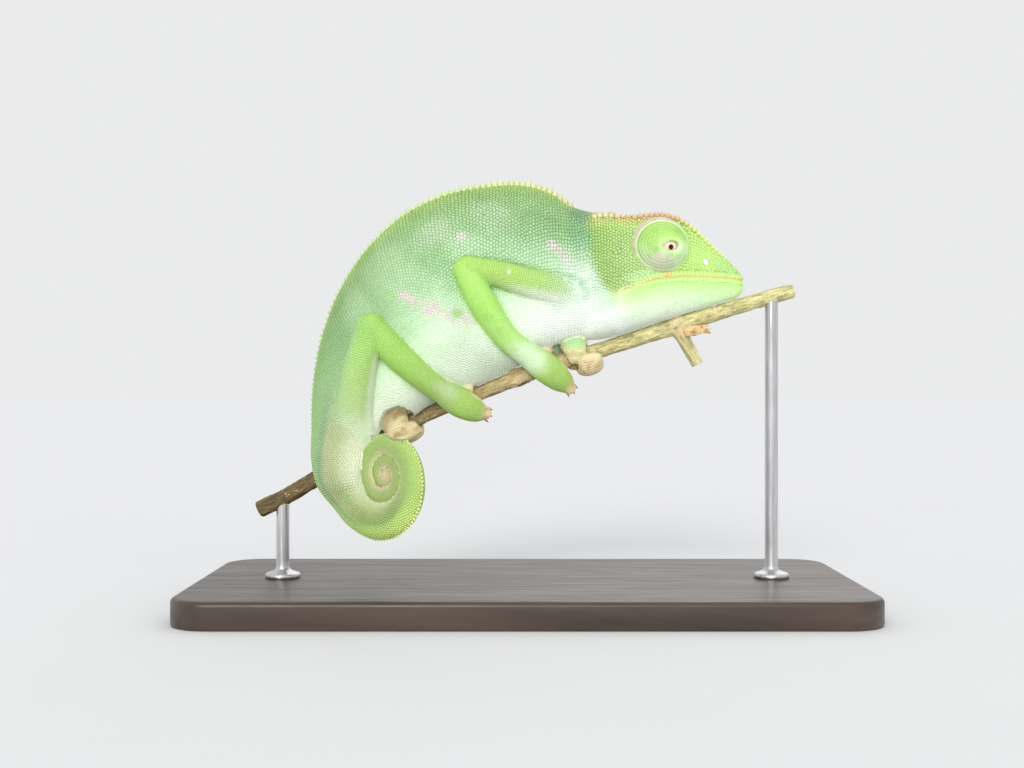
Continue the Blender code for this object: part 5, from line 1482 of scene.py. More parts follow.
# where a leg meets the body, or one part another, the markings run over the border
neighbours = np.clip(idx, 0, len(roots) - 1)
real = (idx < len(roots)) & (np.linalg.norm(roots[neighbours] - roots[:, None], axis=2) < 1.5) & (code[:, None] != 2) & (code[neighbours] != 2)
for turn in range(2):
    across_border = real & ((code[neighbours] != code[:, None]) | (which[neighbours] != which[:, None]))
    share = 0.62 * smooth(across_border.sum(1), 0, 3)
    mean_near = (colour[neighbours] * real[..., None]).sum(1) / np.maximum(real.sum(1), 1)[:, None]
    colour = colour + (mean_near - colour) * (share * (real.sum(1) > 2))[:, None]
colour = colour * tone[:, None]
spots = atlas_place(roots, code, which, pu, pv)


crisp = crispness(roots, code, pu, pv)


def scale_heights():
    h = 0.07 + 0.13 * crisp
    head = code == 1
    h[head] = (0.06 + 0.17 * crisp)[head]
    h[code == 2] = 0.08
    h[code >= 3] = 0.085
    return h * (1 + 0.12 * (rng.random(len(roots)) * 2 - 1))


heights = scale_heights()
big = (code <= 1) & (pitch > 0.70 * q)
for m, corners, profile in ((big, 8, DOME), (~big, 7, BEAD)):
    d = everywhere[idx[m]] - roots[m][:, None]
    x, y = (d * e1[m][:, None]).sum(2), (d * e2[m][:, None]).sum(2)
    dist = np.maximum(np.hypot(x, y), 1e-6)
    reach = dist * pitch[m][:, None] / (pitch[m][:, None] + every_size[idx[m]])
    same = (root_normal[m][:, None] * every_normal[idx[m]]).sum(2) > 0.2
    rr = np.full((m.sum(), corners), 9.0)
    for k in range(corners):
        a = 2 * math.pi * k / corners
        cc = (x * math.cos(a) + y * math.sin(a)) / dist
        rr[:, k] = np.where(same & (cc > 0.25), reach / np.maximum(cc, 0.25), 9.0).min(1)
    rr = np.minimum(rr, 0.66 * pitch[m][:, None])
    rr = np.minimum(rr, 1.24 * rr.mean(1, keepdims=True))
    rr = np.clip(rr * 0.955, 0.28 * pitch[m][:, None], 0.62 * pitch[m][:, None])
    ids = np.nonzero(m)[0]
    for piece, sel in (("coat_body", code[ids] == 0), ("coat_head", code[ids] == 1), ("coat_turrets", code[ids] == 2),
                       ("coat_limbs", (code[ids] == 3) | (code[ids] == 4)), ("coat_feet", code[ids] >= 5)):
        i = ids[sel]
        order = np.argsort(pu[i], kind="stable") if piece == "coat_body" else np.arange(len(i))
        i, rsel = i[order], rr[sel][order]
        coat.add(piece, roots[i] - root_normal[i] * 0.02, root_normal[i], e1[i], e2[i], rsel, profile, heights[i], colour[i], spots[i], crisp=crisp[i])

coat_objects = []
for piece in ("coat_body", "coat_head", "coat_head_lips", "coat_crest", "coat_turrets", "coat_limbs", "coat_feet"):
    coat_objects += coat.build(piece)
for o in coat_objects:
    o.data.calc_loop_triangles()
    print(o.name, len(o.data.loop_triangles), "triangles")

# the skin carries the same markings, with painted shade where it shows between scales
scode, swhich, su, sv = place(co, nrm)
rgb = paint(co, scode, swhich, su, sv, nrm)
bright = rgb @ np.array([0.3, 0.6, 0.1])
shade = 1 - crispness(co, scode, su, sv) * (0.55 - 0.25 * smooth(bright, 200, 246))
finish_mesh(skin, linear(rgb) * LIGHT_SCALE * shade[:, None])


# ================================================================ materials
def add(nt, kind, **inputs):
    nd = nt.nodes.new(kind)
    for key, value in inputs.items():
        nd.inputs[key.replace("_", " ")].default_value = value
    return nd


def new_material(name):
    mat = bpy.data.materials.new(name)
    mat.use_nodes = True
    return mat, mat.node_tree, mat.node_tree.nodes["Principled BSDF"]


def painted(name, rough=(0.42, 0.58), grain=2600.0, bump=0.25, deep=0.00004, speck=0.10, soft=0.0, specular=0.5):
    """Finish whose colour is the markings worked out above, with fine grain, bump and varied roughness."""
    mat, nt, bsdf = new_material(name)
    at_ = nt.nodes.new("ShaderNodeAttribute")
    at_.attribute_name = "paint"
    where = nt.nodes.new("ShaderNodeTexCoord")
    fine = add(nt, "ShaderNodeTexNoise", Scale=grain, Detail=3.0, Roughness=0.6)
    broad = add(nt, "ShaderNodeTexNoise", Scale=grain / 6, Detail=2.0)
    for nd in (fine, broad):
        nt.links.new(where.outputs["Object"], nd.inputs["Vector"])
    tone_ = add(nt, "ShaderNodeMapRange", **{"From_Min": 0.25, "From_Max": 0.75, "To_Min": 1 - speck, "To_Max": 1 + speck * 0.6})
    nt.links.new(fine.outputs["Fac"], tone_.inputs["Value"])
    times = nt.nodes.new("ShaderNodeVectorMath")
    times.operation = "SCALE"
    nt.links.new(at_.outputs["Color"], times.inputs[0])
    nt.links.new(tone_.outputs["Result"], times.inputs["Scale"])
    nt.links.new(times.outputs["Vector"], bsdf.inputs["Base Color"])
    gloss = add(nt, "ShaderNodeMapRange", **{"From_Min": 0.3, "From_Max": 0.7, "To_Min": rough[0], "To_Max": rough[1]})
    nt.links.new(broad.outputs["Fac"], gloss.inputs["Value"])
    nt.links.new(gloss.outputs["Result"], bsdf.inputs["Roughness"])
    bm_ = add(nt, "ShaderNodeBump", Strength=bump, Distance=deep)
    nt.links.new(fine.outputs["Fac"], bm_.inputs["Height"])
    nt.links.new(bm_.outputs["Normal"], bsdf.inputs["Normal"])
    bsdf.inputs["Specular IOR Level"].default_value = specular
    if soft:
        bsdf.inputs["Subsurface Weight"].default_value = soft
        bsdf.inputs["Subsurface Radius"].default_value = (0.9, 1.0, 0.5)
        bsdf.inputs["Subsurface Scale"].default_value = 0.0005
    return mat


def wear(obj, mat):
    obj.data.materials.clear()
    obj.data.materials.append(mat)


skin_mat = painted("skin_between_scales", rough=(0.5, 0.7), grain=3200, bump=0.4, speck=0.12)
scale_mat = painted("scales", rough=(0.40, 0.56), grain=4200, bump=0.2, deep=0.00002, speck=0.07, specular=0.42)
lid_mat = painted("eyelid_edge", rough=(0.40, 0.5), grain=5000, bump=0.2, deep=0.00002, speck=0.06)
claw_mat = painted("claws", rough=(0.25, 0.4), grain=3000, bump=0.15, deep=0.00002, speck=0.12)
bark_mat = painted("twig_bark", rough=(0.72, 0.9), grain=2400, bump=0.8, deep=0.00010, speck=0.30, specular=0.3)
eye_mat = painted("eye_surface", rough=(0.06, 0.10), grain=5200, bump=0.0, speck=0.10)
eye_mat.node_tree.nodes["Principled BSDF"].inputs["Coat Weight"].default_value = 0.35
eye_mat.node_tree.nodes["Principled BSDF"].inputs["Specular IOR Level"].default_value = 0.25
eye_mat.node_tree.nodes["Principled BSDF"].inputs["Coat Roughness"].default_value = 0.03
wear(skin, skin_mat)
for o in coat_objects:
    wear(o, scale_mat)


# ================================================================ eyes
def ring_loft(name, rings, closed_section=False):
    """Solid through rings of points; with closed_section the rings themselves join up end to end, as in a torus."""
    n, m = rings.shape[:2]
    if not closed_section:
        return loft(name, rings)
    i, j = np.meshgrid(np.arange(n), np.arange(m), indexing="ij")
    i, j = i.ravel(), j.ravel()
    i2, j2 = (i + 1) % n, (j + 1) % m
    return outward(mesh_from(name, rings.reshape(-1, 3), np.stack([i * m + j, i * m + j2, i2 * m + j2, i2 * m + j], 1).tolist()))


def lid_path(a, b, m=72):
    t = np.arange(m) * 2 * math.pi / m
    pinch = 1 - 0.30 * np.clip(-np.cos(t), 0, 1) ** 2
    droop = 0.06 * np.cos(t)
    return a * np.cos(t), b * np.sin(t) * pinch + droop


eyes = []
for k, (centre, axis, ahead, up) in enumerate(TURRET_FRAMES):
    side_name = ("right", "left")[k]
    R, d0 = 4.0, 2.06
    polar = np.linspace(0.003, math.asin(2.62 / R), 48)
    m = 72
    a = np.arange(m) * 2 * math.pi / m
    rings = [centre + axis * (d0 + R * math.cos(f)) + R * math.sin(f) * (np.cos(a)[:, None] * ahead + np.sin(a)[:, None] * up) for f in polar]
    rings.append(centre + axis * 4.6 + 2.3 * (np.cos(a)[:, None] * ahead + np.sin(a)[:, None] * up))
    ball = loft("eyeball_" + side_name + "_seen", np.array(rings))
    pts = coords(ball)
    out, h, w = turret_local(pts, k)
    r = np.hypot(h - 0.34, w + 0.30)
    iris = mix(np.tile(np.array((242, 220, 200.0)), (len(pts), 1)), (212, 176, 152), smooth(np.hypot((h - 0.3) / 1.8, w), 0.55, 1.1))
    iris = mix(iris, (224, 190, 168), 0.6 * smooth(noise3(pts, 0.25, 3.1), 0.45, 0.75))
    iris = mix(iris, (150, 96, 60), np.exp(-((r - 0.60) / 0.06) ** 2))
    iris = mix(iris, (2, 2, 2), 1 - smooth(r, 0.50, 0.56))
    finish_mesh(ball, linear(iris) * LIGHT_SCALE)
    wear(ball, eye_mat)
    section = [(0.44, -0.22), (0.40, 0.00), (0.30, 0.08), (0.20, 0.12), (0.12, 0.19), (0.04, 0.19), (-0.02, 0.10), (-0.04, -0.05), (-0.02, -0.35), (0.20, -0.45)]
    rings = []
    for e, up_out in section:
        h, w = lid_path(1.98 + e, 1.17 + e)
        h = h + 0.33
        rings.append(centre + axis * (6.12 + up_out) + h[:, None] * ahead + w[:, None] * up)
    lid = ring_loft("eyelid_edge_" + side_name, np.array(rings), True)
    pts = coords(lid)
    out, h, w = turret_local(pts, k)
    inner_h, inner_w = 1.98, 1.17
    q2 = np.hypot((h - 0.33) / (inner_h + 0.22), w / (inner_w + 0.22))
    rgb = mix(np.tile(np.array((255, 250, 222.0)), (len(pts), 1)), (196, 228, 146), smooth(q2, 1.06, 1.22))
    rgb = mix(rgb, (150, 104, 74), smooth(6.06 - out, 0.0, 0.22))
    finish_mesh(lid, linear(rgb) * LIGHT_SCALE)
    wear(lid, lid_mat)
    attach(ball, "root")
    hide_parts("eyeball_" + side_name)
    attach(lid, "root")
    eyes += [ball, lid]


# ================================================================ claws
def claw_rings(start, direction, bend, length, radius):
    n, m = 9, 12
    side = unit(np.cross(direction, bend))
    rings, p, dirn = [], np.array(start, float), unit(np.array(direction, float))
    for i in range(n):
        f = i / (n - 1)
        r = radius * (1 - f) ** 0.75 + 0.02
        a = np.arange(m) * 2 * math.pi / m
        other = np.cross(dirn, side)
        rings.append(p + r * (0.8 * np.cos(a)[:, None] * side + 1.1 * np.sin(a)[:, None] * other))
        dirn = unit(dirn + bend * 0.11)
        p = p + dirn * length / (n - 1)
    return np.array(rings)


def claws_at(rings, count, spread, outward_, bend):
    end, before = rings[-1], rings[-2]
    c = end.mean(0)
    along = unit(c - before.mean(0))
    wide = end[0] - c
    reach = np.linalg.norm(end - c, axis=1).min()
    found = []
    for k in range(count):
        f = 0.0 if count == 1 else (k / (count - 1) - 0.5) * 2
        start = c + wide * f * spread + along * (reach * (0.62 - 0.30 * abs(f)) - 0.25)
        found.append((start, unit(along + wide / np.linalg.norm(wide) * f * 0.22 + outward_), bend))
    return found


claw_objs = []
found = []
for rows in (MITT_FR, MITT_HR):
    rings = limb_rings(rows, 7, 10)
    found += claws_at(rings, 3, 0.75, np.array([0, 0.25, -0.1]), np.array([0.3, 0.6, -0.5]))
for key, specs in SOFT_WRAPS.items():
    for i, spec in enumerate(specs):
        rows, thin = wrap_rows(*spec)
        rings = limb_rings(rows, 7, 8, 0.0, thin)
        c = rings[-1].mean(0)
        axis_c, _, _, _ = twig_frame(c[0])
        away_ = unit(c - axis_c[0])
        found += claws_at(rings, 2 if (key in ("fr", "hr") or i == 0) else 3, 0.6, -0.35 * away_, -away_)
for i, (start, direction, bend) in enumerate(found):
    claw_objs.append(loft(f"claw_{i}", claw_rings(start, direction, unit(bend), 1.55, 0.36)))
n_each = len(coords(claw_objs[0]))
claws = joined(claw_objs, "claws")
pts = coords(claws)
f = np.tile(np.repeat(np.linspace(0, 1, 9), 12), len(found))[:len(pts)]
finish_mesh(claws, linear(ramp(f, (0, (206, 178, 140)), (0.5, (190, 160, 130)), (1, (120, 96, 78)))) * LIGHT_SCALE)
wear(claws, claw_mat)
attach(claws, "root")

# ================================================================ the twig
N_TWIG, M_TWIG = ((520, 60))
s_tw = np.linspace(0, TWIG_TRACK.length, N_TWIG)
rows, along = TWIG_TRACK.at(s_tw), TWIG_TRACK.tangent(s_tw)
up = unit(np.array([0, 0, 1.0]) - along[:, 2:3] * along)
near_side = np.cross(along, up)
a = np.arange(M_TWIG) * 2 * math.pi / M_TWIG
S, A = np.repeat(s_tw, M_TWIG), np.tile(a, N_TWIG)
X = np.repeat(rows[:, 0], M_TWIG)
rad = np.repeat(rows[:, 3], M_TWIG)
ridged = np.stack([2.6 * np.cos(A), 2.6 * np.sin(A), S * 0.30], 1)
knobby = np.stack([2.0 * np.cos(A), 2.0 * np.sin(A), S * 0.55], 1)
swell = 0.42 * np.exp(-((X + 1.6) / 1.9) ** 2) + 0.30 * np.exp(-((X - 34.6) / 2.3) ** 2) + 0.10 * np.exp(-((X + 47) / 2.0) ** 2) + 0.08 * np.exp(-((X - 56.5) / 1.6) ** 2)
coarse = noise3(np.stack([1.2 * np.cos(A), 1.2 * np.sin(A), S * 0.25], 1), 1.1, 6.6)
ridges = noise3(ridged, 0.42, 2.2)
knobs = noise3(knobby, 0.40, 8.8)
disp = -0.10 + 0.20 * (ridges - 0.5) + 0.14 * (knobs - 0.5) + 0.16 * (coarse - 0.5)
on_knot = np.exp(-((X + 1.6) / 2.6) ** 2) + 0.7 * np.exp(-((X - 34.6) / 2.2) ** 2)
disp += on_knot * 0.30 * (noise3(np.stack([2.4 * np.cos(A), 2.4 * np.sin(A), S], 1), 0.8, 1.3) - 0.5)
trng = np.random.default_rng(23)
lent = np.zeros(len(S))
for _ in range(520):
    ls, la, lw = trng.uniform(0.5, TWIG_TRACK.length - 0.5), trng.uniform(0, 2 * math.pi), trng.uniform(0.08, 0.19)
    da = np.abs((A - la + math.pi) % (2 * math.pi) - math.pi) * 1.85
    lent = np.maximum(lent, np.exp(-((S - ls) / (lw * 1.7)) ** 2 - (da / lw) ** 2))
disp += 0.13 * lent
radius = rad + swell * (0.85 + 0.3 * coarse) + disp
ends = np.minimum(S, TWIG_TRACK.length - S)
radius = radius * (1 - 0.10 * (1 - smooth(ends, 0, 0.35)))
twig_pts = (np.repeat(rows[:, :3], M_TWIG, 0) + radius[:, None] * (np.cos(A)[:, None] * np.repeat(up, M_TWIG, 0) + np.sin(A)[:, None] * np.repeat(near_side, M_TWIG, 0)))
twig_rings = twig_pts.reshape(N_TWIG, M_TWIG, 3)


def end_cap(ring, out, steps=7):
    c = ring.mean(0)
    return [c + (ring - c) * (1 - k / steps) + out * (0.05 * math.sin(k * 1.9)) for k in range(1, steps)] + [c + (ring - c) * 0.02]


first_cap = end_cap(twig_rings[0], unit(rows[0, :3] - rows[1, :3]))
last_cap = end_cap(twig_rings[-1], unit(rows[-1, :3] - rows[-2, :3]))
all_rings = np.concatenate([np.array(first_cap[::-1]), twig_rings, np.array(last_cap)])
bark = loft("perch_twig_bark", all_rings)
pts = coords(bark)


def bark_colour(X, Z_rel, ridges, lent, coarse, knot):
    c = ramp(X, (-62, (104, 88, 58)), (-38, (116, 98, 66)), (-26, (146, 128, 88)), (-10, (178, 160, 114)), (4, (194, 176, 124)), (14, (198, 186, 130)), (30, (202, 194, 138)), (62, (208, 202, 146)))
    c = mix(c, c * 0.80, smooth(0.5 - ridges, 0.02, 0.32))
    c = mix(c, c * np.array((1.12, 1.11, 1.10)), smooth(ridges, 0.56, 0.85))
    c = mix(c, (150, 148, 96), 0.35 * smooth(coarse, 0.55, 0.8))
    c = mix(c, (240, 226, 188), 0.85 * smooth(lent, 0.35, 0.8))
    c = mix(c, (224, 200, 156), 0.85 * smooth(knot, 0.30, 0.9) * smooth(coarse, 0.20, 0.55))
    c = mix(c, (104, 82, 52), 0.6 * smooth(knot, 0.45, 0.95) * smooth(0.42 - coarse, 0, 0.2))
    return c


body_rgb = bark_colour(X, None, ridges, lent, coarse, np.exp(-((X + 1.6) / 2.9) ** 2) + 0.9 * np.exp(-((X - 34.9) / 2.0) ** 2))
cap_n = len(first_cap)
cap_f = np.repeat(np.linspace(1, 0.02, cap_n), M_TWIG)
ring_noise = 0.5 + 0.5 * np.sin(cap_f * 26)
cap_rgb = ramp(cap_f, (0, (150, 120, 80)), (0.12, (214, 196, 150)), (0.85, (222, 206, 160)), (0.93, (150, 126, 82)), (1, (112, 92, 60)))
cap_rgb = mix(cap_rgb, (196, 172, 124), 0.5 * ring_noise)
finish_mesh(bark, linear(np.concatenate([cap_rgb[::-1], body_rgb, cap_rgb])) * LIGHT_SCALE)
wear(bark, bark_mat)

# the stub of a side shoot below the node, with a torn bract
c0, along0, up0, _ = twig_frame(34.6)
c0, along0, up0 = c0[0], along0[0], up0[0]
stub_dir = unit(along0 * 0.16 - up0 * 0.8)
n_st, m_st = 70, 40
f = np.linspace(0, 1, n_st)
st_r = np.interp(f * 10.0, [0, 1.6, 3.0, 7.5, 10.0], [2.5, 1.95, 1.60, 1.42, 1.40])
bend_line = c0 + stub_dir * (f * 10.0)[:, None]
u0 = unit(np.cross(stub_dir, [0, 1.0, 0]))
v0 = np.cross(stub_dir, u0)
a = np.arange(m_st) * 2 * math.pi / m_st
SS, AA = np.repeat(f * 10, m_st), np.tile(a, n_st)
rn = noise3(np.stack([1.4 * np.cos(AA), 1.4 * np.sin(AA), SS * 0.14], 1), 0.36, 3.9)
rr = np.repeat(st_r, m_st) + 0.16 * (rn - 0.5) - 0.06 + 0.10 * np.exp(-((SS - 7.2) / 0.5) ** 2)
st_pts = np.repeat(bend_line, m_st, 0) + rr[:, None] * (np.cos(AA)[:, None] * u0 + np.sin(AA)[:, None] * v0)
st_rings = st_pts.reshape(n_st, m_st, 3)
st_cap = end_cap(st_rings[-1], stub_dir)
stub = loft("side_shoot", np.concatenate([st_rings, np.array(st_cap)]))
st_rgb = bark_colour(np.full(len(SS), 34.0), None, rn, np.zeros(len(SS)), np.full(len(SS), 0.5), np.exp(-((SS - 1.5) / 1.3) ** 2))
cap_f = np.repeat(np.linspace(1, 0.02, len(st_cap)), m_st)
cap_rgb = ramp(cap_f, (0, (160, 130, 84)), (0.15, (206, 202, 140)), (0.85, (214, 206, 150)), (1, (130, 120, 70)))
finish_mesh(stub, linear(np.concatenate([st_rgb, cap_rgb])) * LIGHT_SCALE)
wear(stub, bark_mat)

fringe = []
cup, b = [], np.arange(20) * 2 * math.pi / 20
for g in np.linspace(0, 1, 15):
    mid_point = np.array((35.7 + 4.9 * g, -1.45 - 0.75 * math.sin(math.pi * g), 62.55 + 0.55 * g))
    tall = 0.25 + 1.15 * math.sin(math.pi * min(0.86, 0.08 + 0.80 * g)) + 0.10 * math.sin(9 * g)
    bow = 0.55 * np.cos(b) ** 2 * math.sin(math.pi * min(1, g + 0.1))
    cup.append(mid_point + np.stack([0.3 * np.cos(b), 0.11 * np.sin(b) + bow, tall * np.cos(b)], 1))
fringe.append(loft("bract_cup", np.array(cup)))
for k in range(8):
    f_ = k / 7
    start = np.array((40.0, -1.75, 62.35 + 1.5 * f_)) if k < 7 else np.array((37.2, -1.3, 63.9))
    reach_to = np.array((42.3 + trng.uniform(-0.6, 0.5), -1.8 + trng.uniform(-0.3, 0.3), 62.1 + 2.2 * f_)) if k < 7 else np.array((42.9, -1.4, 65.0))
    aim, wide = unit(reach_to - start), np.array((0.0, 1.0, 0.0))
    thick = unit(np.cross(aim, wide))
    rings = []
    for g in np.linspace(0, 1, 9):
        half = 0.24 * (1 - g) ** 0.7 + 0.04
        rings.append(start + (reach_to - start) * g + thick * (0.18 * math.sin(3 * g + k)) + half * np.cos(b[::2])[:, None] * thick + 0.5 * half * np.sin(b[::2])[:, None] * wide)
    fringe.append(loft(f"bract_end_{k}", np.array(rings)))
for k in range(5):
    spread = (k / 4 - 0.5)
    start = c0 + along0 * (0.5 + trng.uniform(0, 0.5)) - up0 * (1.5 + 0.5 * trng.random()) + np.cross(along0, up0) * (spread * 2.6)
    aim = unit(along0 * (0.9 + 0.3 * trng.random()) - up0 * (0.22 + 0.34 * trng.random()) + np.cross(along0, up0) * spread * 0.9)
    length = trng.uniform(2.6, 4.3)
    wide = unit(np.cross(aim, up0))
    thick = np.cross(aim, wide)
    rings = []
    for i in range(9):
        g = i / 8
        half_w, half_t = 0.34 * (1 - g) ** 0.6 + 0.03, 0.10 * (1 - 0.6 * g)
        p = start + aim * length * g + up0 * (0.5 * math.sin(g * 2.2) * (0.4 + 0.5 * (k % 3) / 2) - 0.15 * g)
        b = np.arange(8) * 2 * math.pi / 8
        rings.append(p + half_w * np.cos(b)[:, None] * wide + half_t * np.sin(b)[:, None] * thick)
    fringe.append(loft(f"bract_{k}", np.array(rings)))
bract = joined(fringe, "torn_bract")
pts = coords(bract)
rgb = mix(np.tile(np.array((226, 196, 144.0)), (len(pts), 1)), (182, 146, 96), smooth(noise3(pts, 0.6, 4.0), 0.45, 0.8))
finish_mesh(bract, linear(rgb) * LIGHT_SCALE)
wear(bract, bark_mat)
for piece in (bark, stub, bract):
    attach(piece, "root")
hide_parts("perch_twig")

# ================================================================ the display stand
low, high_corner = (np.array(v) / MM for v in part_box("stand_base"))
half_l, half_d, tall = (high_corner[0] - low[0]) / 2, (high_corner[1] - low[1]) / 2, high_corner[2]


def slab_ring(inset, z, corner=9.0, per=16):
    pts_ = []
    r_ = corner - inset
    for qx, qy, a0 in ((1, 1, 0), (-1, 1, 90), (-1, -1, 180), (1, -1, 270)):
        for k_ in range(per + 1):
            b_ = math.radians(a0 + 90 * k_ / per)
            pts_.append((qx * (half_l - corner) + r_ * math.cos(b_), qy * (half_d - corner) + r_ * math.sin(b_), z))
    return pts_


edge_r = 1.1
rings = [slab_ring(0.4, 0.0), slab_ring(0.1, 0.12), slab_ring(0.0, 0.45)]
for k in range(9):
    b = k / 8 * math.pi / 2
    rings.append(slab_ring(edge_r * (1 - math.cos(b)), tall - edge_r + edge_r * math.sin(b)))
for k in (0.25, 0.5, 0.75):
    rings.append(slab_ring(edge_r + 6.0 * k, tall))
board = loft("stand_board", np.array(rings))
board.data.polygons.foreach_set("use_smooth", np.ones(len(board.data.polygons), bool))
board.data.set_sharp_from_angle(angle=math.radians(50))
mat, nt, bsdf = new_material("dark_stained_board")
where = nt.nodes.new("ShaderNodeTexCoord")
stretch = nt.nodes.new("ShaderNodeMapping")
stretch.inputs["Scale"].default_value = (9.0, 130.0, 130.0)
nt.links.new(where.outputs["Object"], stretch.inputs["Vector"])
warp = add(nt, "ShaderNodeTexNoise", Scale=1.0, Detail=4.0, Roughness=0.55, Distortion=0.6)
nt.links.new(stretch.outputs["Vector"], warp.inputs["Vector"])
pores = add(nt, "ShaderNodeTexNoise", Scale=7.0, Detail=2.0, Roughness=0.5)
nt.links.new(stretch.outputs["Vector"], pores.inputs["Vector"])
tint = nt.nodes.new("ShaderNodeValToRGB")
tint.color_ramp.elements[0].position, tint.color_ramp.elements[0].color = 0.32, (0.020, 0.014, 0.010, 1)
tint.color_ramp.elements[1].position, tint.color_ramp.elements[1].color = 0.72, (0.075, 0.050, 0.034, 1)
nt.links.new(warp.outputs["Fac"], tint.inputs["Fac"])
nt.links.new(tint.outputs["Color"], bsdf.inputs["Base Color"])
rg = add(nt, "ShaderNodeMapRange", **{"From_Min": 0.3, "From_Max": 0.7, "To_Min": 0.30, "To_Max": 0.44})
nt.links.new(pores.outputs["Fac"], rg.inputs["Value"])
nt.links.new(rg.outputs["Result"], bsdf.inputs["Roughness"])
bp = add(nt, "ShaderNodeBump", Strength=0.25, Distance=0.00006)
nt.links.new(pores.outputs["Fac"], bp.inputs["Height"])
nt.links.new(bp.outputs["Normal"], bsdf.inputs["Normal"])
wear(board, mat)
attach(board, "root")
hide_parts("stand_base")

mat, nt, bsdf = new_material("satin_steel")
where = nt.nodes.new("ShaderNodeTexCoord")
stretch = nt.nodes.new("ShaderNodeMapping")
stretch.inputs["Scale"].default_value = (900.0, 900.0, 40.0)
nt.links.new(where.outputs["Object"], stretch.inputs["Vector"])
brush = add(nt, "ShaderNodeTexNoise", Scale=3.0, Detail=3.0, Roughness=0.6)
nt.links.new(stretch.outputs["Vector"], brush.inputs["Vector"])
tint = nt.nodes.new("ShaderNodeValToRGB")
tint.color_ramp.elements[0].position, tint.color_ramp.elements[0].color = 0.3, (0.50, 0.50, 0.51, 1)
tint.color_ramp.elements[1].position, tint.color_ramp.elements[1].color = 0.7, (0.68, 0.68, 0.69, 1)
nt.links.new(brush.outputs["Fac"], tint.inputs["Fac"])
nt.links.new(tint.outputs["Color"], bsdf.inputs["Base Color"])
rg = add(nt, "ShaderNodeMapRange", **{"From_Min": 0.3, "From_Max": 0.7, "To_Min": 0.26, "To_Max": 0.40})
nt.links.new(brush.outputs["Fac"], rg.inputs["Value"])
nt.links.new(rg.outputs["Result"], bsdf.inputs["Roughness"])
bsdf.inputs["Metallic"].default_value = 1.0
for name in ("stand_rod_left", "stand_rod_right"):
    low, high_corner = (np.array(v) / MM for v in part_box(name))
    cx, cy = (low[:2] + high_corner[:2]) / 2
    c_, _, _, tw = twig_frame(cx)
    top = float(c_[0, 2]) - 0.6
    foot = float(low[2]) - 0.28
    prof = [(0.05, foot), (3.9, foot), (4.0, foot + 0.12), (4.0, foot + 0.85), (3.86, foot + 1.05), (3.55, foot + 1.2), (2.6, foot + 1.5),
            (1.9, foot + 1.85), (1.6, foot + 2.2), (1.5, foot + 2.7)]
    prof += [(1.5, foot + 2.7 + (top - foot - 2.7) * g) for g in np.linspace(0.1, 1, 10)] + [(0.05, top)]
    turn_ = np.arange(56) * 2 * math.pi / 56
    rod = loft(name + "_turned", np.array([np.stack([cx + r_ * np.cos(turn_), cy + r_ * np.sin(turn_), np.full(56, z_)], 1) for r_, z_ in prof]))
    rod.data.polygons.foreach_set("use_smooth", np.ones(len(rod.data.polygons), bool))
    rod.data.set_sharp_from_angle(angle=math.radians(40))
    wear(rod, mat)
    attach(rod, "root")
    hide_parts(name)

# ================================================================ what rides and what is replaced
FLESH = ["head", "lower_jaw", "eye_turret_right", "eye_turret_left", "neck", "trunk", "tail_base", "tail_middle", "tail_coil",
         "upper_arm_right", "upper_arm_left", "forearm_right", "forearm_left", "hand_right", "hand_left",
         "thigh_right", "thigh_left", "shank_right", "shank_left", "foot_right", "foot_left"]
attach(skin, "root")
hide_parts(*FLESH)
for o in coat_objects:
    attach(o, "root")

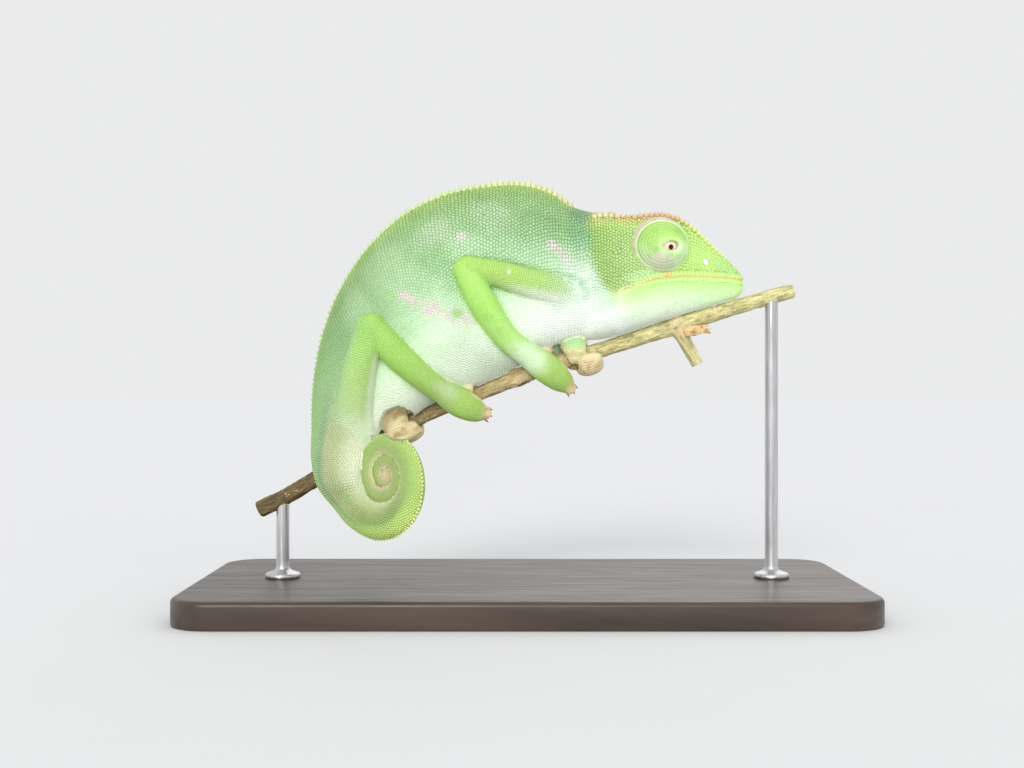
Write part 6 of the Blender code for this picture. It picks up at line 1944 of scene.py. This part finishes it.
# ================================================================ floor, light and camera
floor = mesh_from("studio_floor", [(-4000, -4000, -0.02), (4000, -4000, -0.02), (4000, 4000, -0.02), (-4000, 4000, -0.02)], [(0, 1, 2, 3)])
mat, nt, bsdf = new_material("pale_floor")
where = nt.nodes.new("ShaderNodeTexCoord")
mottle = add(nt, "ShaderNodeTexNoise", Scale=14.0, Detail=3.0, Roughness=0.5)
nt.links.new(where.outputs["Object"], mottle.inputs["Vector"])
tint = nt.nodes.new("ShaderNodeValToRGB")
tint.color_ramp.elements[0].position, tint.color_ramp.elements[0].color = 0.3, (0.688, 0.691, 0.698, 1)
tint.color_ramp.elements[1].position, tint.color_ramp.elements[1].color = 0.7, (0.694, 0.697, 0.704, 1)
nt.links.new(mottle.outputs["Fac"], tint.inputs["Fac"])
nt.links.new(tint.outputs["Color"], bsdf.inputs["Base Color"])
bsdf.inputs["Roughness"].default_value = 0.9
bsdf.inputs["Specular IOR Level"].default_value = 0.0
wear(floor, mat)

world = bpy.data.worlds.new("studio")
bpy.context.scene.world = world
world.use_nodes = True
bg = world.node_tree.nodes["Background"]
bg.inputs["Color"].default_value = (0.985, 0.99, 1.0, 1)
bg.inputs["Strength"].default_value = 0.84


def broad_light(name, from_, power, spread, colour_=(1, 1, 1)):
    """Even light from one direction, as from a large softbox far off; spread in degrees."""
    data = bpy.data.lights.new(name, "SUN")
    data.energy, data.angle, data.color = power, math.radians(spread), colour_
    obj = bpy.data.objects.new(name, data)
    obj.rotation_euler = (-Vector(from_)).to_track_quat("-Z", "Y").to_euler()
    bpy.context.scene.collection.objects.link(obj)
    return obj


broad_light("key", (-0.25, -1.0, 0.50), 1.75, 25, (1.0, 0.994, 0.98))
fill = broad_light("fill", (0.75, -1.0, 0.22), 0.55, 50)
fill.visible_glossy = False
broad_light("back", (0.25, 1.0, 0.80), 0.40, 50)
front = broad_light("front", (0.04, -1.0, 0.02), 1.9, 12)
front.visible_glossy = False

cam = bpy.data.objects.new("camera", bpy.data.cameras.new("camera"))
cam.data.sensor_width, cam.data.lens = 36.0, 48.9
cam.data.clip_start, cam.data.clip_end = 0.01, 50.0
cam.location = (-3.22 * MM, -320 * MM, 50.6 * MM)
cam.rotation_euler = (math.pi / 2, 0, 0)
bpy.context.scene.collection.objects.link(cam)
bpy.context.scene.camera = cam
bpy.context.scene.view_settings.view_transform = "Standard"
bpy.context.scene.view_settings.look = "None"
